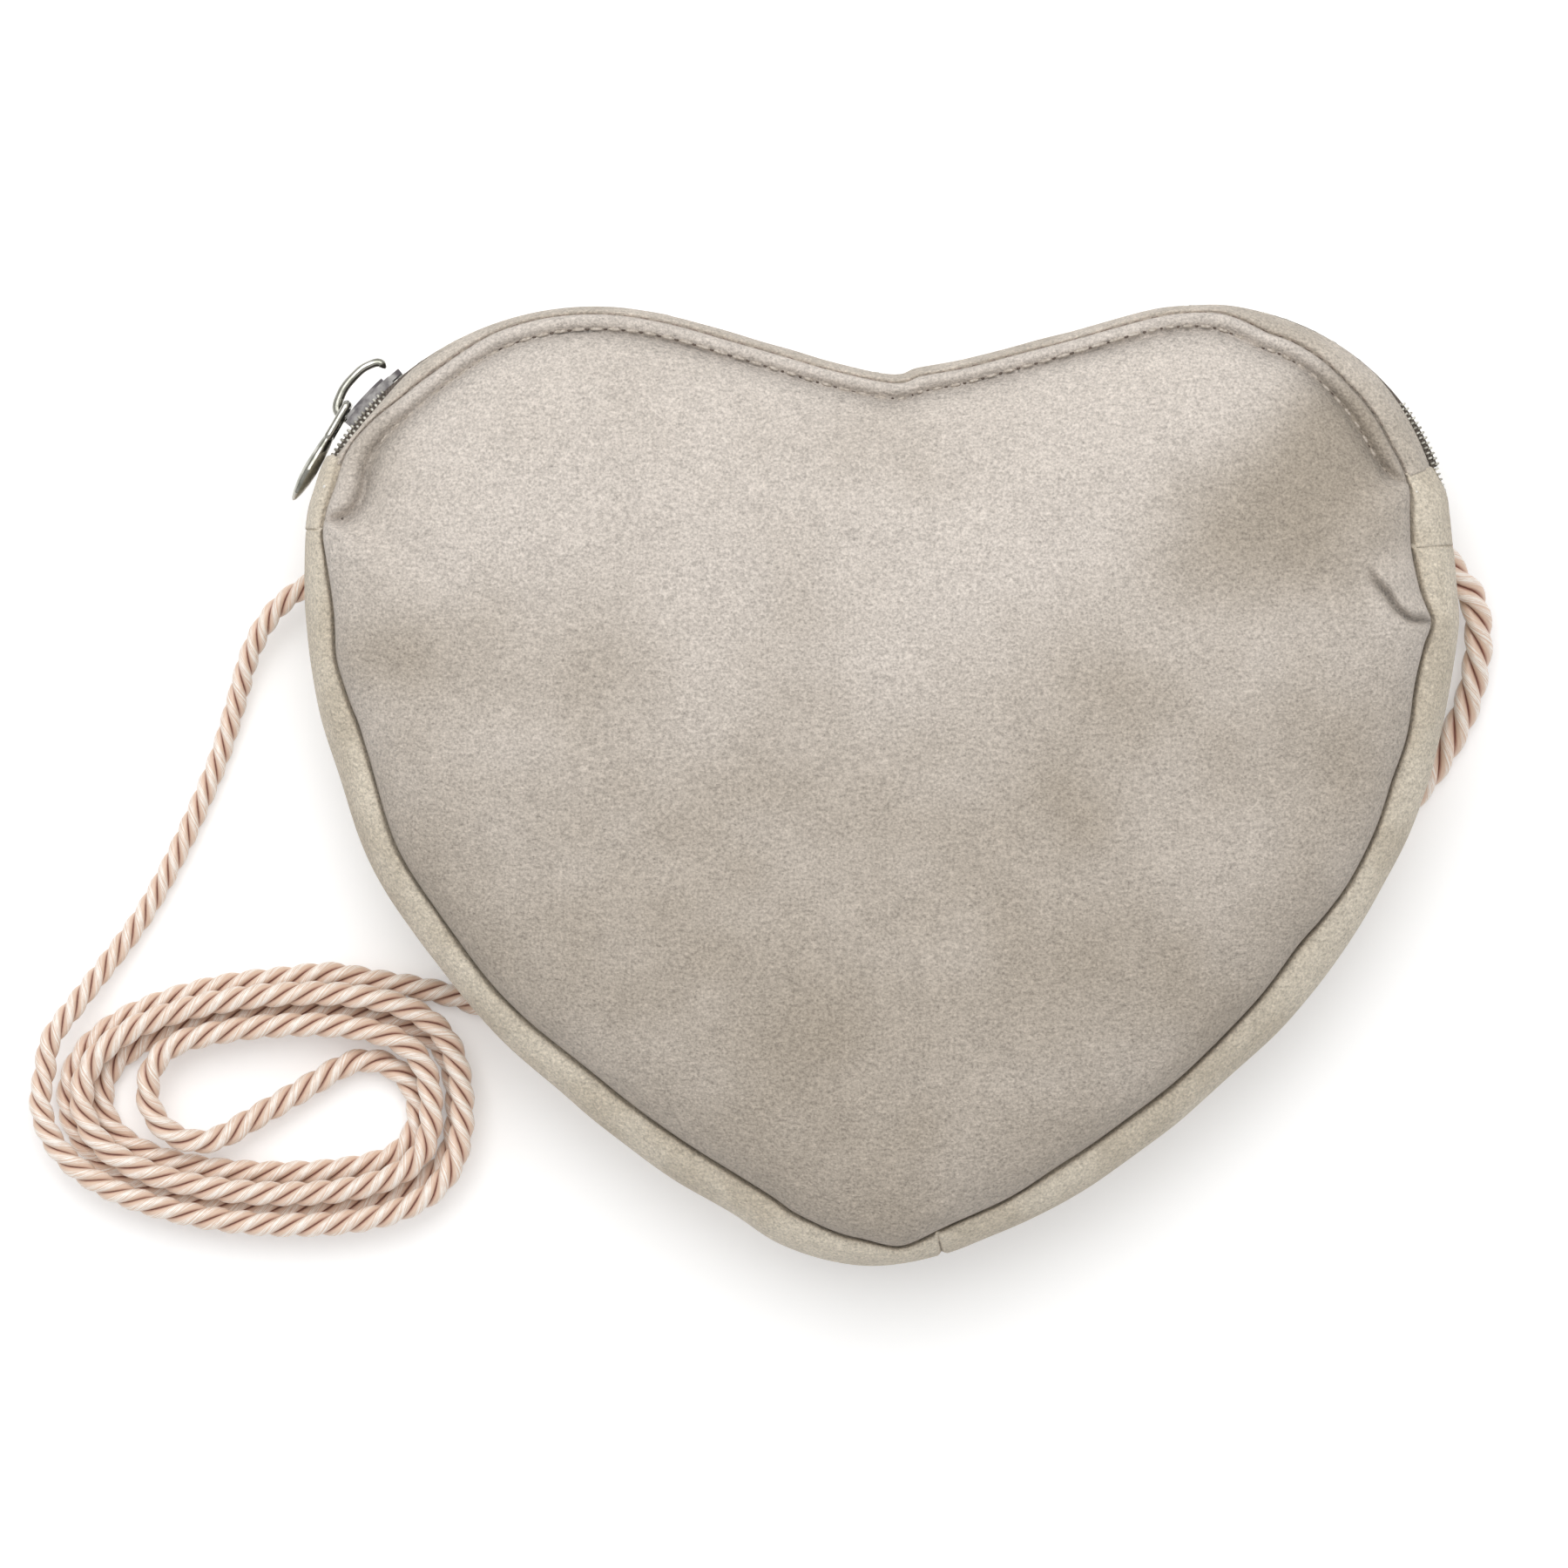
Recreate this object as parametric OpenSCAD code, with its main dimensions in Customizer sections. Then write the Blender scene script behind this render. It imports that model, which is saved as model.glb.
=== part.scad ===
// Heart shaped purse of soft suede, laid flat on its back on a table.
// Millimetres. +X is to the right, +Y towards the two lobes, +Z up through the front panel.
// The origin is on the table, under the middle of the heart.
// The rim is the widest line round the bag. Every sewn piece hangs on it by an inset and a height.

/* [Bag] */
// Half of the heart's width
half_w = 110.5; // [80:0.5:160]
// Half of the heart's height
half_h = 91.5; // [66:0.5:132]
// Height of the seam between the back panel and the band
back_seam_z = 9; // [7:0.5:12]
// Height of the seam between the front panel and the band
front_seam_z = 38; // [36:0.5:46]
// Rise of the front panel from its seam to its crown
crown_rise = 14; // [6:0.5:24]
// Thickness of the suede with its interlining
suede_t = 1.4; // [0.8:0.1:2]
// Thickness of the lining cloth
lining_t = 0.5; // [0.3:0.1:0.8]
// Gap kept between sewn layers
layer_gap = 0.3; // [0.2:0.05:0.5]
// Inset of the back seam along the top, where the zip is
top_inset = 1.5; // [0.5:0.1:3]
// Inset of the back seam at the two sides
side_inset = 4.8; // [3:0.1:7]
// Inset of the back seam along the lower left
low_left_inset = 7; // [4:0.1:9]
// Inset of the back seam along the lower right
low_right_inset = 5.6; // [4:0.1:8]
// Inset of the back seam at the tip
tip_inset = 3.2; // [2:0.1:6]
// Inset of the front seam along the top, in the dip and on the lobes
front_top_inset = 1.8; // [1:0.1:3]
// Inset of the front seam where the two lobes turn down
front_left_inset = 3.2; // [2:0.1:5]
// Inset of the front seam at the two sides
front_side_inset = 6; // [4:0.1:8]
// Inset of the front seam along the two lower sides
front_low_inset = 7.4; // [5:0.1:9]
// Inset of the front seam at the tip
front_tip_inset = 4.2; // [3:0.1:6]
// Distance over which the back panel curls up from the table
back_curl = 24; // [18:1:32]
// Distance over which the front panel domes up from its seam
front_curl = 44; // [30:1:54]
// Width of the cloth tape that binds the seam edges inside
binding_w = 3.4; // [2:0.1:5]
// Length of each suede tab over a zip end
tab_l = 15.5; // [12:0.5:20]

/* [Zip] */
// Height of the zip chain's middle above the table
chain_z = 24; // [22:0.5:26]
// Free opening between the edges of the two facings
facing_gap = 11; // [10.6:0.1:13]
// How far in from the rim the middle of the teeth lies
chain_inset = 0.6; // [0.4:0.1:0.9]
// Thickness of the suede facings
facing_t = 1.2; // [0.8:0.1:1.6]
// Thickness of the zip tape
tape_t = 0.6; // [0.4:0.1:0.8]
// Width of one zip tape, from the teeth outwards
tape_w = 6; // [4:0.5:8]
// Distance from tooth to tooth along one row
tooth_pitch = 2; // [2:0.1:3]
// Length of a tooth along the chain
tooth_l = 1.1; // [0.8:0.1:1.3]
// Width of a tooth across the chain
tooth_w = 2; // [1.5:0.1:2.2]
// Height of a tooth through the tape
tooth_h = 1.8; // [1.2:0.1:2]
// Gap between the two rows of teeth
row_gap = 1.5; // [1.3:0.1:2]

/* [Slider] */
// Length of the slider along the chain
slider_l = 14; // [10:0.5:17]
// Width of the slider's plates
slider_w = 9; // [8:0.1:9.4]
// Thickness of each plate
plate_t = 1.1; // [0.8:0.1:1.4]
// Gap between a plate and the teeth
plate_gap = 0.3; // [0.2:0.05:0.5]
// Thickness of the post between the plates
post_w = 0.8; // [0.5:0.1:0.9]
// Height of the bail above the outer plate
bail_rise = 4.8; // [4.4:0.1:8]
// Thickness of the bail's strip
bail_t = 1.2; // [0.8:0.1:1.4]
// Width of the bail's strip
bail_w = 1.6; // [1:0.1:2]
// Length of the pull from its bar to its tip
pull_l = 22; // [18:0.5:30]
// Greatest width of the pull's leaf
pull_w = 9; // [7:0.5:14]
// Thickness of the pull
pull_t = 2.2; // [1.2:0.1:2.4]
// Diameter of the bar that hangs in the bail
bar_d = 1.6; // [1.2:0.1:2]

/* [Strap] */
// Diameter of the twisted cord
cord_d = 5; // [4:0.5:6]
// Step between loops of the coil that lie side by side
loop_step = 6; // [5.9:0.1:7.5]
// Height between the coil's two layers
layer_step = 5.6; // [5.5:0.1:7]
// Diameter of the sewn wrap round each end of the cord
anchor_d = 6.4; // [6:0.1:7]
// Length of the sewn wrap
anchor_l = 2.4; // [1.6:0.1:2.5]

/* [Hidden] */

// The left lobe is a true arc, because the slider runs round it. The right lobe is one too.
lobe_shares = [-0.487, 0.364];
lobe_r = 0.522 * half_w;
lobe = [lobe_shares[0] * half_w, lobe_shares[1] * half_h];
right_lobe_shares = [0.562, 0.478];
right_lobe_r_share = 0.431;
right_lobe = [right_lobe_shares[0] * half_w, right_lobe_shares[1] * half_h];

// The flanks and the tip, from under the left lobe round to the right one, as shares of the halves
flank_shares = [
    [-0.989, 0.477], [-0.982, 0.293], [-0.963, 0.162], [-0.932, 0.04], [-0.866, -0.181],
    [-0.762, -0.369], [-0.65, -0.529], [-0.523, -0.661], [-0.395, -0.787], [-0.251, -0.891],
    [-0.174, -0.951], [-0.09, -0.987], [0, -1], [0.09, -0.984], [0.174, -0.951],
    [0.332, -0.86], [0.473, -0.745], [0.601, -0.612], [0.728, -0.467], [0.836, -0.289],
    [0.925, -0.079], [0.971, 0.091], [1.002, 0.298], [1, 0.423]
];
// The dip between the lobes, from the right lobe to the left one
dip_shares = [
    [0.332, 0.941], [0.234, 0.91], [0.148, 0.883], [0.071, 0.866], [0.028, 0.852],
    [-0.073, 0.877], [-0.153, 0.905], [-0.242, 0.936]
];
left_arc = [76:12:160];
right_arc = [10:12:94];
right_arc_end = 104;

function lerp(a, b, t) = a + (b - a) * t;
function unit(v) = v / norm(v);
function on_arc(c, r, a) = c + r * [cos(a), sin(a)];
function from_shares(list) = [for (s = list) [s[0] * half_w, s[1] * half_h]];

keys = concat(
    [for (a = left_arc) on_arc(lobe, lobe_r, a)],
    from_shares(flank_shares),
    [for (a = right_arc) on_arc(right_lobe, right_lobe_r_share * half_w, a)],
    [on_arc(right_lobe, right_lobe_r_share * half_w, right_arc_end)],
    from_shares(dip_shares)
);
key_count = len(keys);
function key(k) = keys[(k + key_count) % key_count];
// A smooth curve through the keys, two places to each key
function through(a, b, c, d, t) =
    (2 * b + (c - a) * t + (2 * a - 5 * b + 4 * c - d) * t * t + (3 * b - a - 3 * c + d) * t * t * t) / 2;
rim = [for (k = [0:key_count - 1], t = [0, 0.5]) through(key(k - 1), key(k), key(k + 1), key(k + 2), t)];
n = len(rim);

// A place u counts along the rim, two to each key, from the left of the dip round by the tip
function rim_at(i) = rim[(i % n + n) % n];
function out_at(i) = let (t = unit(rim_at(i + 1) - rim_at(i - 1))) [t[1], -t[0]];
function edge(u) = lerp(rim_at(floor(u)), rim_at(floor(u) + 1), u - floor(u));
function outward(u) = unit(lerp(out_at(floor(u)), out_at(floor(u) + 1), u - floor(u)));
function place(u, inset, z) = let (p = edge(u) - inset * outward(u)) [p[0], p[1], z];
// The places from one to another, with each rim place between them
function span(from, to) = concat(
    [from],
    [for (i = [floor(from) + 1:ceil(to) - 1]) i],
    [to]
);

// Where each stretch of the band starts and ends
tab_left_from = 12.4;
tab_left_to = tab_left_from + tab_l / norm(rim[14] - rim[13]);
band_joint = 42.6;
tab_right_to = 65.8;
tab_right_from = tab_right_to - tab_l / norm(rim[66] - rim[65]);
zip_from = tab_right_to;
zip_to = n + tab_left_from;
seam_share = 0.03;

inset_table = [
    [0, top_inset], [11, top_inset], [17, side_inset], [24, side_inset], [29, low_left_inset],
    [34, low_left_inset], [39, tip_inset], [42, tip_inset], [47, low_right_inset],
    [60, low_right_inset], [65, side_inset], [70, top_inset], [n, top_inset]
];
// The front seam is drawn in further than the back one, most at the right end of the zip
front_inset_table = [
    [0, front_top_inset], [5, front_top_inset], [8, front_left_inset], [13, front_left_inset],
    [17, front_side_inset], [21, front_side_inset], [26, front_low_inset], [35, front_low_inset],
    [40.5, front_tip_inset], [42, front_tip_inset], [46, front_low_inset], [65, front_low_inset],
    [70, front_side_inset], [74, front_left_inset], [77, front_top_inset], [n, front_top_inset]
];
function seam_inset(u, up) = lookup(u % n, up > 0 ? front_inset_table : inset_table);

// Puts a skin on a grid of outer points and a grid of inner points with the same rows and columns
module skin(outer, inner, ring = false) {
    rows = len(outer);
    cols = len(outer[0]);
    last = ring ? cols - 1 : cols - 2;
    half = rows * cols;
    function o(r, c) = r * cols + c % cols;
    function i(r, c) = half + r * cols + c % cols;
    function two(a, b, c, d) = [[a, b, c], [a, c, d]];
    quads = concat(
        [for (r = [0:rows - 2], c = [0:last]) [o(r, c), o(r + 1, c), o(r + 1, c + 1), o(r, c + 1)]],
        [for (r = [0:rows - 2], c = [0:last]) [i(r, c), i(r, c + 1), i(r + 1, c + 1), i(r + 1, c)]],
        [for (c = [0:last]) [o(0, c), o(0, c + 1), i(0, c + 1), i(0, c)]],
        [for (c = [0:last]) [o(rows - 1, c), i(rows - 1, c), i(rows - 1, c + 1), o(rows - 1, c + 1)]],
        ring ? [] : [for (r = [0:rows - 2]) [o(r, 0), i(r, 0), i(r + 1, 0), o(r + 1, 0)]],
        ring ? [] : [for (r = [0:rows - 2])
            [o(r, cols - 1), o(r + 1, cols - 1), i(r + 1, cols - 1), i(r, cols - 1)]]
    );
    polyhedron(
        points = [for (g = [outer, inner], row = g, p = row) p],
        faces = [for (q = quads, f = two(q[0], q[1], q[2], q[3])) f]
    );
}

// Puts a skin on a dish of rings that close on a middle point, outer side and inner side
module dish(outer, inner, outer_mid, inner_mid) {
    rows = len(outer);
    half = rows * n;
    function o(r, c) = r * n + c % n;
    function i(r, c) = half + r * n + c % n;
    function two(a, b, c, d) = [[a, b, c], [a, c, d]];
    quads = concat(
        [for (r = [0:rows - 2], c = [0:n - 1]) [o(r, c), o(r + 1, c), o(r + 1, c + 1), o(r, c + 1)]],
        [for (r = [0:rows - 2], c = [0:n - 1]) [i(r, c), i(r, c + 1), i(r + 1, c + 1), i(r + 1, c)]],
        [for (c = [0:n - 1]) [o(0, c), o(0, c + 1), i(0, c + 1), i(0, c)]]
    );
    polyhedron(
        points = concat([for (g = [outer, inner], row = g, p = row) p], [outer_mid, inner_mid]),
        faces = concat(
            [for (q = quads, f = two(q[0], q[1], q[2], q[3])) f],
            [for (c = [0:n - 1]) [o(rows - 1, c), 2 * half, o(rows - 1, c + 1)]],
            [for (c = [0:n - 1]) [i(rows - 1, c), i(rows - 1, c + 1), 2 * half + 1]]
        )
    );
}

// How far in each ring of a panel lies, as shares of the curl, and of the way left to the middle
panel_ring_shares = [0, 0.04, 0.14, 0.32, 0.58, 1];
lining_ring_shares = [0, 0.14, 0.58, 1];
inner_ring_share = 0.5;
mid_shares = [0, 0.04];
middle = [mid_shares[0] * half_w, mid_shares[1] * half_h];

function dome_share(d) = sqrt(1 - pow(1 - min(d, 1), 3));
function curl_share(d) = 1 - pow(1 - min(d, 1), 2);
// A panel's ring: deep is how far below the outer surface, up is +1 on the front and -1 on the back
function ring_points(d, curl, seam_z, rise, up, deep) =
    let (f = up > 0 ? dome_share(d) : curl_share(d))
    [for (u = [0:n - 1]) place(u, seam_inset(u, up) + d * curl + deep * (1 - f), seam_z + up * (rise - deep) * f)];
function inwards(ring, share) = [for (p = ring)
    [lerp(p[0], middle[0], share), lerp(p[1], middle[1], share), p[2]]];
function rings(shares, curl, seam_z, rise, up, deep) =
    let (list = [for (d = shares) ring_points(d, curl, seam_z, rise, up, deep)])
    concat(list, [inwards(list[len(list) - 1], inner_ring_share)]);

module panel(shares, curl, seam_z, rise, up, from_deep, to_deep) {
    outer = rings(shares, curl, seam_z, rise, up, from_deep);
    inner = rings(shares, curl, seam_z, rise, up, to_deep);
    outer_mid = [middle[0], middle[1], seam_z + up * (rise - from_deep)];
    inner_mid = [middle[0], middle[1], seam_z + up * (rise - to_deep)];
    if (up > 0) dish(inner, outer, inner_mid, outer_mid);
    else dish(outer, inner, outer_mid, inner_mid);
}

lining_from = suede_t + layer_gap;
lining_to = lining_from + lining_t;

module front_panel() {
    color("#cbbfb1") panel(panel_ring_shares, front_curl, front_seam_z, crown_rise, 1, 0, suede_t);
}

module back_panel() {
    color("#b5a797") panel(panel_ring_shares, back_curl, back_seam_z, back_seam_z, -1, 0, suede_t);
}

module front_lining() {
    color("#8d7f70")
        panel(lining_ring_shares, front_curl, front_seam_z, crown_rise, 1, lining_from, lining_to);
}

module back_lining() {
    color("#8d7f70")
        panel(lining_ring_shares, back_curl, back_seam_z, back_seam_z, -1, lining_from, lining_to);
}

// The band between the seams bulges out to the rim half way up
band_steps = [0, 0.12, 0.3, 0.5, 0.7, 0.88, 1];
lining_steps = [0, 0.25, 0.5, 0.75, 1];
band_low = back_seam_z + layer_gap;
band_high = front_seam_z - layer_gap;
function band_inset(u, v) = seam_inset(u, 2 * v - 1) * pow(2 * v - 1, 2);
module band(from, to, steps, low, high, in, t) {
    us = span(from, to);
    outer = [for (v = steps) [for (u = us) place(u, band_inset(u, v) + in, lerp(low, high, v))]];
    inner = [for (v = steps) [for (u = us) place(u, band_inset(u, v) + in + t, lerp(low, high, v))]];
    skin(outer, inner);
}

module gusset_left() {
    color("#b7aea2")
        band(tab_left_to + seam_share, band_joint - seam_share, band_steps, band_low, band_high, 0, suede_t);
}

module gusset_right() {
    color("#b7aea2")
        band(band_joint + seam_share, tab_right_from - seam_share, band_steps, band_low, band_high, 0, suede_t);
}

module gusset_lining() {
    color("#8d7f70")
        band(tab_left_to + seam_share, tab_right_from - seam_share, lining_steps,
            band_low + suede_t, band_high - suede_t, lining_from, lining_t);
}

module end_tab_left() {
    color("#aea496")
        band(tab_left_from + seam_share, tab_left_to - seam_share, band_steps, band_low, band_high, 0, suede_t);
}

module end_tab_right() {
    color("#aea496")
        band(tab_right_from + seam_share, tab_right_to - seam_share, band_steps, band_low, band_high, 0, suede_t);
}

// The facings run from their seams to the edges of the zip
facing_steps = [0, 0.35, 0.7, 1];
function facing_inset(u, v, up) = seam_inset(u, up) * pow(1 - v, 2);
module facing(seam_z, chain_edge_z) {
    up = seam_z - chain_edge_z;
    us = span(zip_from + seam_share, zip_to - seam_share);
    outer = [for (v = facing_steps) [for (u = us)
        place(u, facing_inset(u, v, up), lerp(seam_z, chain_edge_z, v))]];
    inner = [for (v = facing_steps) [for (u = us)
        place(u, facing_inset(u, v, up) + facing_t, lerp(seam_z, chain_edge_z, v))]];
    if (seam_z < chain_edge_z) skin(outer, inner);
    else skin(inner, outer);
}

module zip_facing_front() {
    color("#c6baac") facing(band_high, chain_z + facing_gap / 2);
}

module zip_facing_back() {
    color("#b7aea2") facing(band_low, chain_z - facing_gap / 2);
}

// The tapes lie behind the facings, and their teeth stand at their edges
tape_inset = facing_t + layer_gap;
tape_from = zip_from + seam_share;
tape_to = zip_to - seam_share;
tooth_edge = row_gap / 2 + tooth_w;
tape_gap = layer_gap / 3;
module tape(up) {
    us = span(tape_from, tape_to);
    far = up > 0 ? band_high - chain_z : chain_z - band_low;
    tape_end = tooth_edge + tape_gap + tape_w;
    end_v = (far - tape_end) / (far - facing_gap / 2);
    // Each row's height from the chain and its inset: by the teeth, past the slider, behind the facing
    function rows(u) = [
        [tooth_edge + tape_gap, chain_inset - tape_t / 2],
        [slider_w / 2 + tape_gap, chain_inset - tape_t / 2],
        [facing_gap / 2 - tape_gap, tape_inset],
        [tape_end, tape_inset + facing_inset(u, end_v, up)]
    ];
    outer = [for (k = [0:3]) [for (u = us) let (row = rows(u)[k]) place(u, row[1], chain_z + up * row[0])]];
    inner = [for (k = [0:3]) [for (u = us) let (row = rows(u)[k]) place(u, row[1] + tape_t, chain_z + up * row[0])]];
    if (up > 0) skin(outer, inner);
    else skin(inner, outer);
}

module zip_tape_front() {
    color("#9a8d7f") tape(1);
}

module zip_tape_back() {
    color("#9a8d7f") tape(-1);
}

// The chain's own line, and lengths along it, so that the teeth keep an even step
chain_us = span(tape_from, tape_to);
chain = [for (u = chain_us) edge(u) - chain_inset * outward(u)];
function runs(list, k = 0, sum = 0, made = []) =
    k == len(list) - 1 ? concat(made, [sum])
    : runs(list, k + 1, sum + norm(list[k + 1] - list[k]), concat(made, [sum]));
chain_runs = runs(chain);
chain_l = chain_runs[len(chain_runs) - 1];
function along(s, axis) = lookup(s, [for (k = [0:len(chain) - 1]) [chain_runs[k], chain[k][axis]]]);
function chain_at(s) = [along(s, 0), along(s, 1)];
tooth_count = floor((chain_l - 5 * tooth_pitch) / tooth_pitch);
first_tooth = (chain_l - (tooth_count - 1) * tooth_pitch) / 2;

module on_chain(s) {
    p = chain_at(s);
    ahead = chain_at(s + tooth_pitch / 2) - chain_at(s - tooth_pitch / 2);
    translate([p[0], p[1], chain_z]) rotate([0, 0, atan2(ahead[1], ahead[0])]) children();
}

module tooth_row(up) {
    shift = up > 0 ? 0 : tooth_pitch / 4;
    for (k = [0:tooth_count - 1])
        on_chain(first_tooth - tooth_pitch / 8 + shift + k * tooth_pitch)
            translate([-tooth_l / 2, -tooth_h / 2, up > 0 ? row_gap / 2 : -row_gap / 2 - tooth_w])
                cube([tooth_l, tooth_h, tooth_w]);
}

module zip_teeth_front() {
    color("#b9bcbe") tooth_row(1);
}

module zip_teeth_back() {
    color("#b9bcbe") tooth_row(-1);
}

stop_l = 1.5 * tooth_pitch;
module zip_stops() {
    color("#b9bcbe")
        for (s = [stop_l / 2, chain_l - stop_l / 2])
            on_chain(s)
                translate([-stop_l / 2, -tooth_h / 2, -tooth_edge])
                    cube([stop_l, tooth_h, 2 * tooth_edge]);
}

// A cloth tape binds the seam edges all the way round inside
binding_inset = lining_to + layer_gap;
module binding(low, high, up) {
    us = [0:n - 1];
    outer = [for (z = [low, high]) [for (u = us) place(u, seam_inset(u, up) + binding_inset, z)]];
    inner = [for (z = [low, high]) [for (u = us) place(u, seam_inset(u, up) + binding_inset + lining_t, z)]];
    skin(outer, inner, ring = true);
}

module front_seam_binding() {
    color("#a4978a") binding(band_high - binding_w, band_high, 1);
}

module back_seam_binding() {
    color("#a4978a") binding(band_low, band_low + binding_w, -1);
}

// The slider's plates are curved about the lobe's middle, where it turns
slider_at = 136;
function turn(l, r) = l / r * 180 / PI;
slider_turn = turn(slider_l, lobe_r);
outer_plate_r = lobe_r - chain_inset + tooth_h / 2 + plate_gap;
inner_plate_r = lobe_r - chain_inset - tooth_h / 2 - plate_gap;
plate_top_r = outer_plate_r + plate_t;
crown_h = 0.8;
crown_w = 3.2;
flange_t = 0.7;
flange_h = 0.5;
nose_share = 0.62;

// A curved slab about the lobe's middle
module slab(r0, r1, w, from, to, lift = 0) {
    translate([lobe[0], lobe[1], chain_z + lift])
        rotate([0, 0, from])
            rotate_extrude(angle = to - from, $fn = 180)
                translate([r0, -w / 2]) square([r1 - r0, w]);
}

module slider_body() {
    from = slider_at - slider_turn / 2;
    to = slider_at + slider_turn / 2;
    step = slider_turn / 6;
    nose_reach = 1.5 * step; // runs on into the wider part
    color("#c4c7c9") {
        slab(outer_plate_r, plate_top_r, slider_w, from + step, to);
        slab(outer_plate_r, plate_top_r, slider_w * nose_share, from, from + nose_reach);
        slab(inner_plate_r - plate_t, inner_plate_r, slider_w, from + step, to);
        slab(inner_plate_r - plate_t, inner_plate_r, slider_w * nose_share, from, from + nose_reach);
        slab(inner_plate_r - plate_t / 2, outer_plate_r + plate_t / 2, post_w, to - 1.5 * step, to - step / 3);
        for (side = [-1, 1])
            slab(outer_plate_r - flange_h, outer_plate_r + plate_t / 2, flange_t, from + step, to,
                side * (slider_w - flange_t) / 2);
        slab(plate_top_r - plate_t / 2, plate_top_r + crown_h, crown_w, from + 1.5 * step, to - step / 3);
    }
}

// The bail is an open hook: it rises at the nose, arches back and stops short of the plate
bail_shares = [[0.44, -0.12], [0.44, 0.5], [0.25, 0.88], [0, 1], [-0.22, 0.92], [-0.36, 0.6], [-0.36, 0.3]];
bail_base_r = plate_top_r + crown_h;
bail_knots = [for (s = bail_shares)
    on_arc([0, 0], bail_base_r + s[1] * (bail_rise - crown_h), slider_at + s[0] * slider_turn)];
bail_places = len(bail_knots);
function bail_knot(k) = bail_knots[max(0, min(bail_places - 1, k))];
bail_line = concat(
    [for (k = [0:bail_places - 2], t = [0, 0.34, 0.67])
        through(bail_knot(k - 1), bail_knot(k), bail_knot(k + 1), bail_knot(k + 2), t)],
    [bail_knot(bail_places - 1)]
);
function beside(list, k, d) =
    let (a = list[max(0, k - 1)], b = list[min(len(list) - 1, k + 1)], t = unit(b - a))
    list[k] + d * [t[1], -t[0]];

module slider_bail() {
    last = len(bail_line) - 1;
    color("#c4c7c9")
        translate([lobe[0], lobe[1], chain_z - bail_w / 2])
            difference() {
                linear_extrude(bail_w)
                    polygon(concat(
                        [for (k = [0:last]) beside(bail_line, k, bail_t / 2)],
                        [for (k = [last:-1:0]) beside(bail_line, k, -bail_t / 2)]
                    ));
                translate([0, 0, -bail_w]) cylinder(r = bail_base_r, h = 3 * bail_w, $fn = 180);
            }
}

// The pull hangs by its bar inside the bail, and swings about it
pull_turn_share = 0.3;
pull_r = bail_base_r + bar_d / 2 + 1.4 * layer_gap;
pull_at = on_arc(lobe, pull_r, slider_at + pull_turn_share * slider_turn);
pull_heading = 240;
eye_l = 7.8;
eye_w = 4;
rail_w = 1.3;
// Half widths of the leaf along its length, as shares
leaf_shares = [[0, 1], [0.12, 0.72], [0.3, 0.86], [0.52, 1], [0.72, 0.9], [0.88, 0.6], [0.97, 0.28], [1, 0]];
head_l = bar_d / 2;

module zip_pull() {
    leaf_from = eye_l;
    half_eye = eye_w / 2 + rail_w;
    side = [for (s = leaf_shares)
        [leaf_from + s[0] * (pull_l - leaf_from), s[0] == 0 ? half_eye : s[1] * pull_w / 2]];
    color("#c4c7c9")
        translate([pull_at[0], pull_at[1], chain_z])
            rotate([0, 0, pull_heading]) {
                rotate([90, 0, 0])
                    translate([0, 0, -pull_t / 2])
                        linear_extrude(pull_t)
                            difference() {
                                polygon(concat(
                                    [[-head_l / 2, half_eye - rail_w / 2], [head_l, half_eye]],
                                    side,
                                    [for (k = [len(side) - 2:-1:0]) [side[k][0], -side[k][1]]],
                                    [[head_l, -half_eye], [-head_l / 2, -half_eye + rail_w / 2]]
                                ));
                                translate([-bar_d, -eye_w / 2]) square([bar_d + eye_l, eye_w]);
                            }
                cylinder(d = bar_d, h = eye_w + rail_w, center = true, $fn = 48);
            }
}

// The strap. Its runs' points are chosen by hand, and its coil comes from a formula.
cord_r = cord_d / 2;
coil_mid = [-119, -61, 0];
coil_half_l = 17;
coil_out_r = 25.5;
coil_in_r = 13.5;
coil_shrink = 1;
coil_drift = 1;
coil_lean = 5;
egg_share = 0.09;
top_from = 165;
top_turn = 675;
low_from = -60;
low_turn = 570;
low_in = 1.6;
loop_rings = 24;
coil_sides = 6;
top_z = cord_r + layer_step;
low_step = (coil_out_r - low_in - coil_in_r) / (low_turn / 360);

function way(heading) = [cos(heading), sin(heading), 0];
function heading_of(v) = atan2(v[1], v[0]);
function positive(a) = a - 360 * floor(a / 360);
function raised(list, z) = [for (p = list) p + [0, 0, z]];
// A loop is an oval with round ends: the middle part moves its two ends apart
function oval(a, r, l, shift) =
    let (c = cos(a), s = sin(a), big = r / coil_out_r)
    coil_mid + [shift + l * (3 - c * c) * c / 2 + r * c + coil_lean * big * s * s,
        r * s * (1 + egg_share * big * c), 0];
function top_point(a) =
    let (turns = (a - top_from) / 360)
    oval(a, coil_out_r - loop_step * turns, coil_half_l - coil_shrink * turns, coil_drift * turns);
function low_point(a) =
    let (turns = (low_from - a) / 360)
    oval(a, coil_in_r + low_step * turns, coil_half_l, 2 * coil_drift);

ring_turn = 360 / loop_rings;
top_loops = [for (a = [top_from:ring_turn:top_from + top_turn]) top_point(a)];
low_loops = [for (a = [low_from:-ring_turn:low_from - low_turn]) low_point(a)];
top_last = len(top_loops) - 1;
low_last = len(low_loops) - 1;
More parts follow.
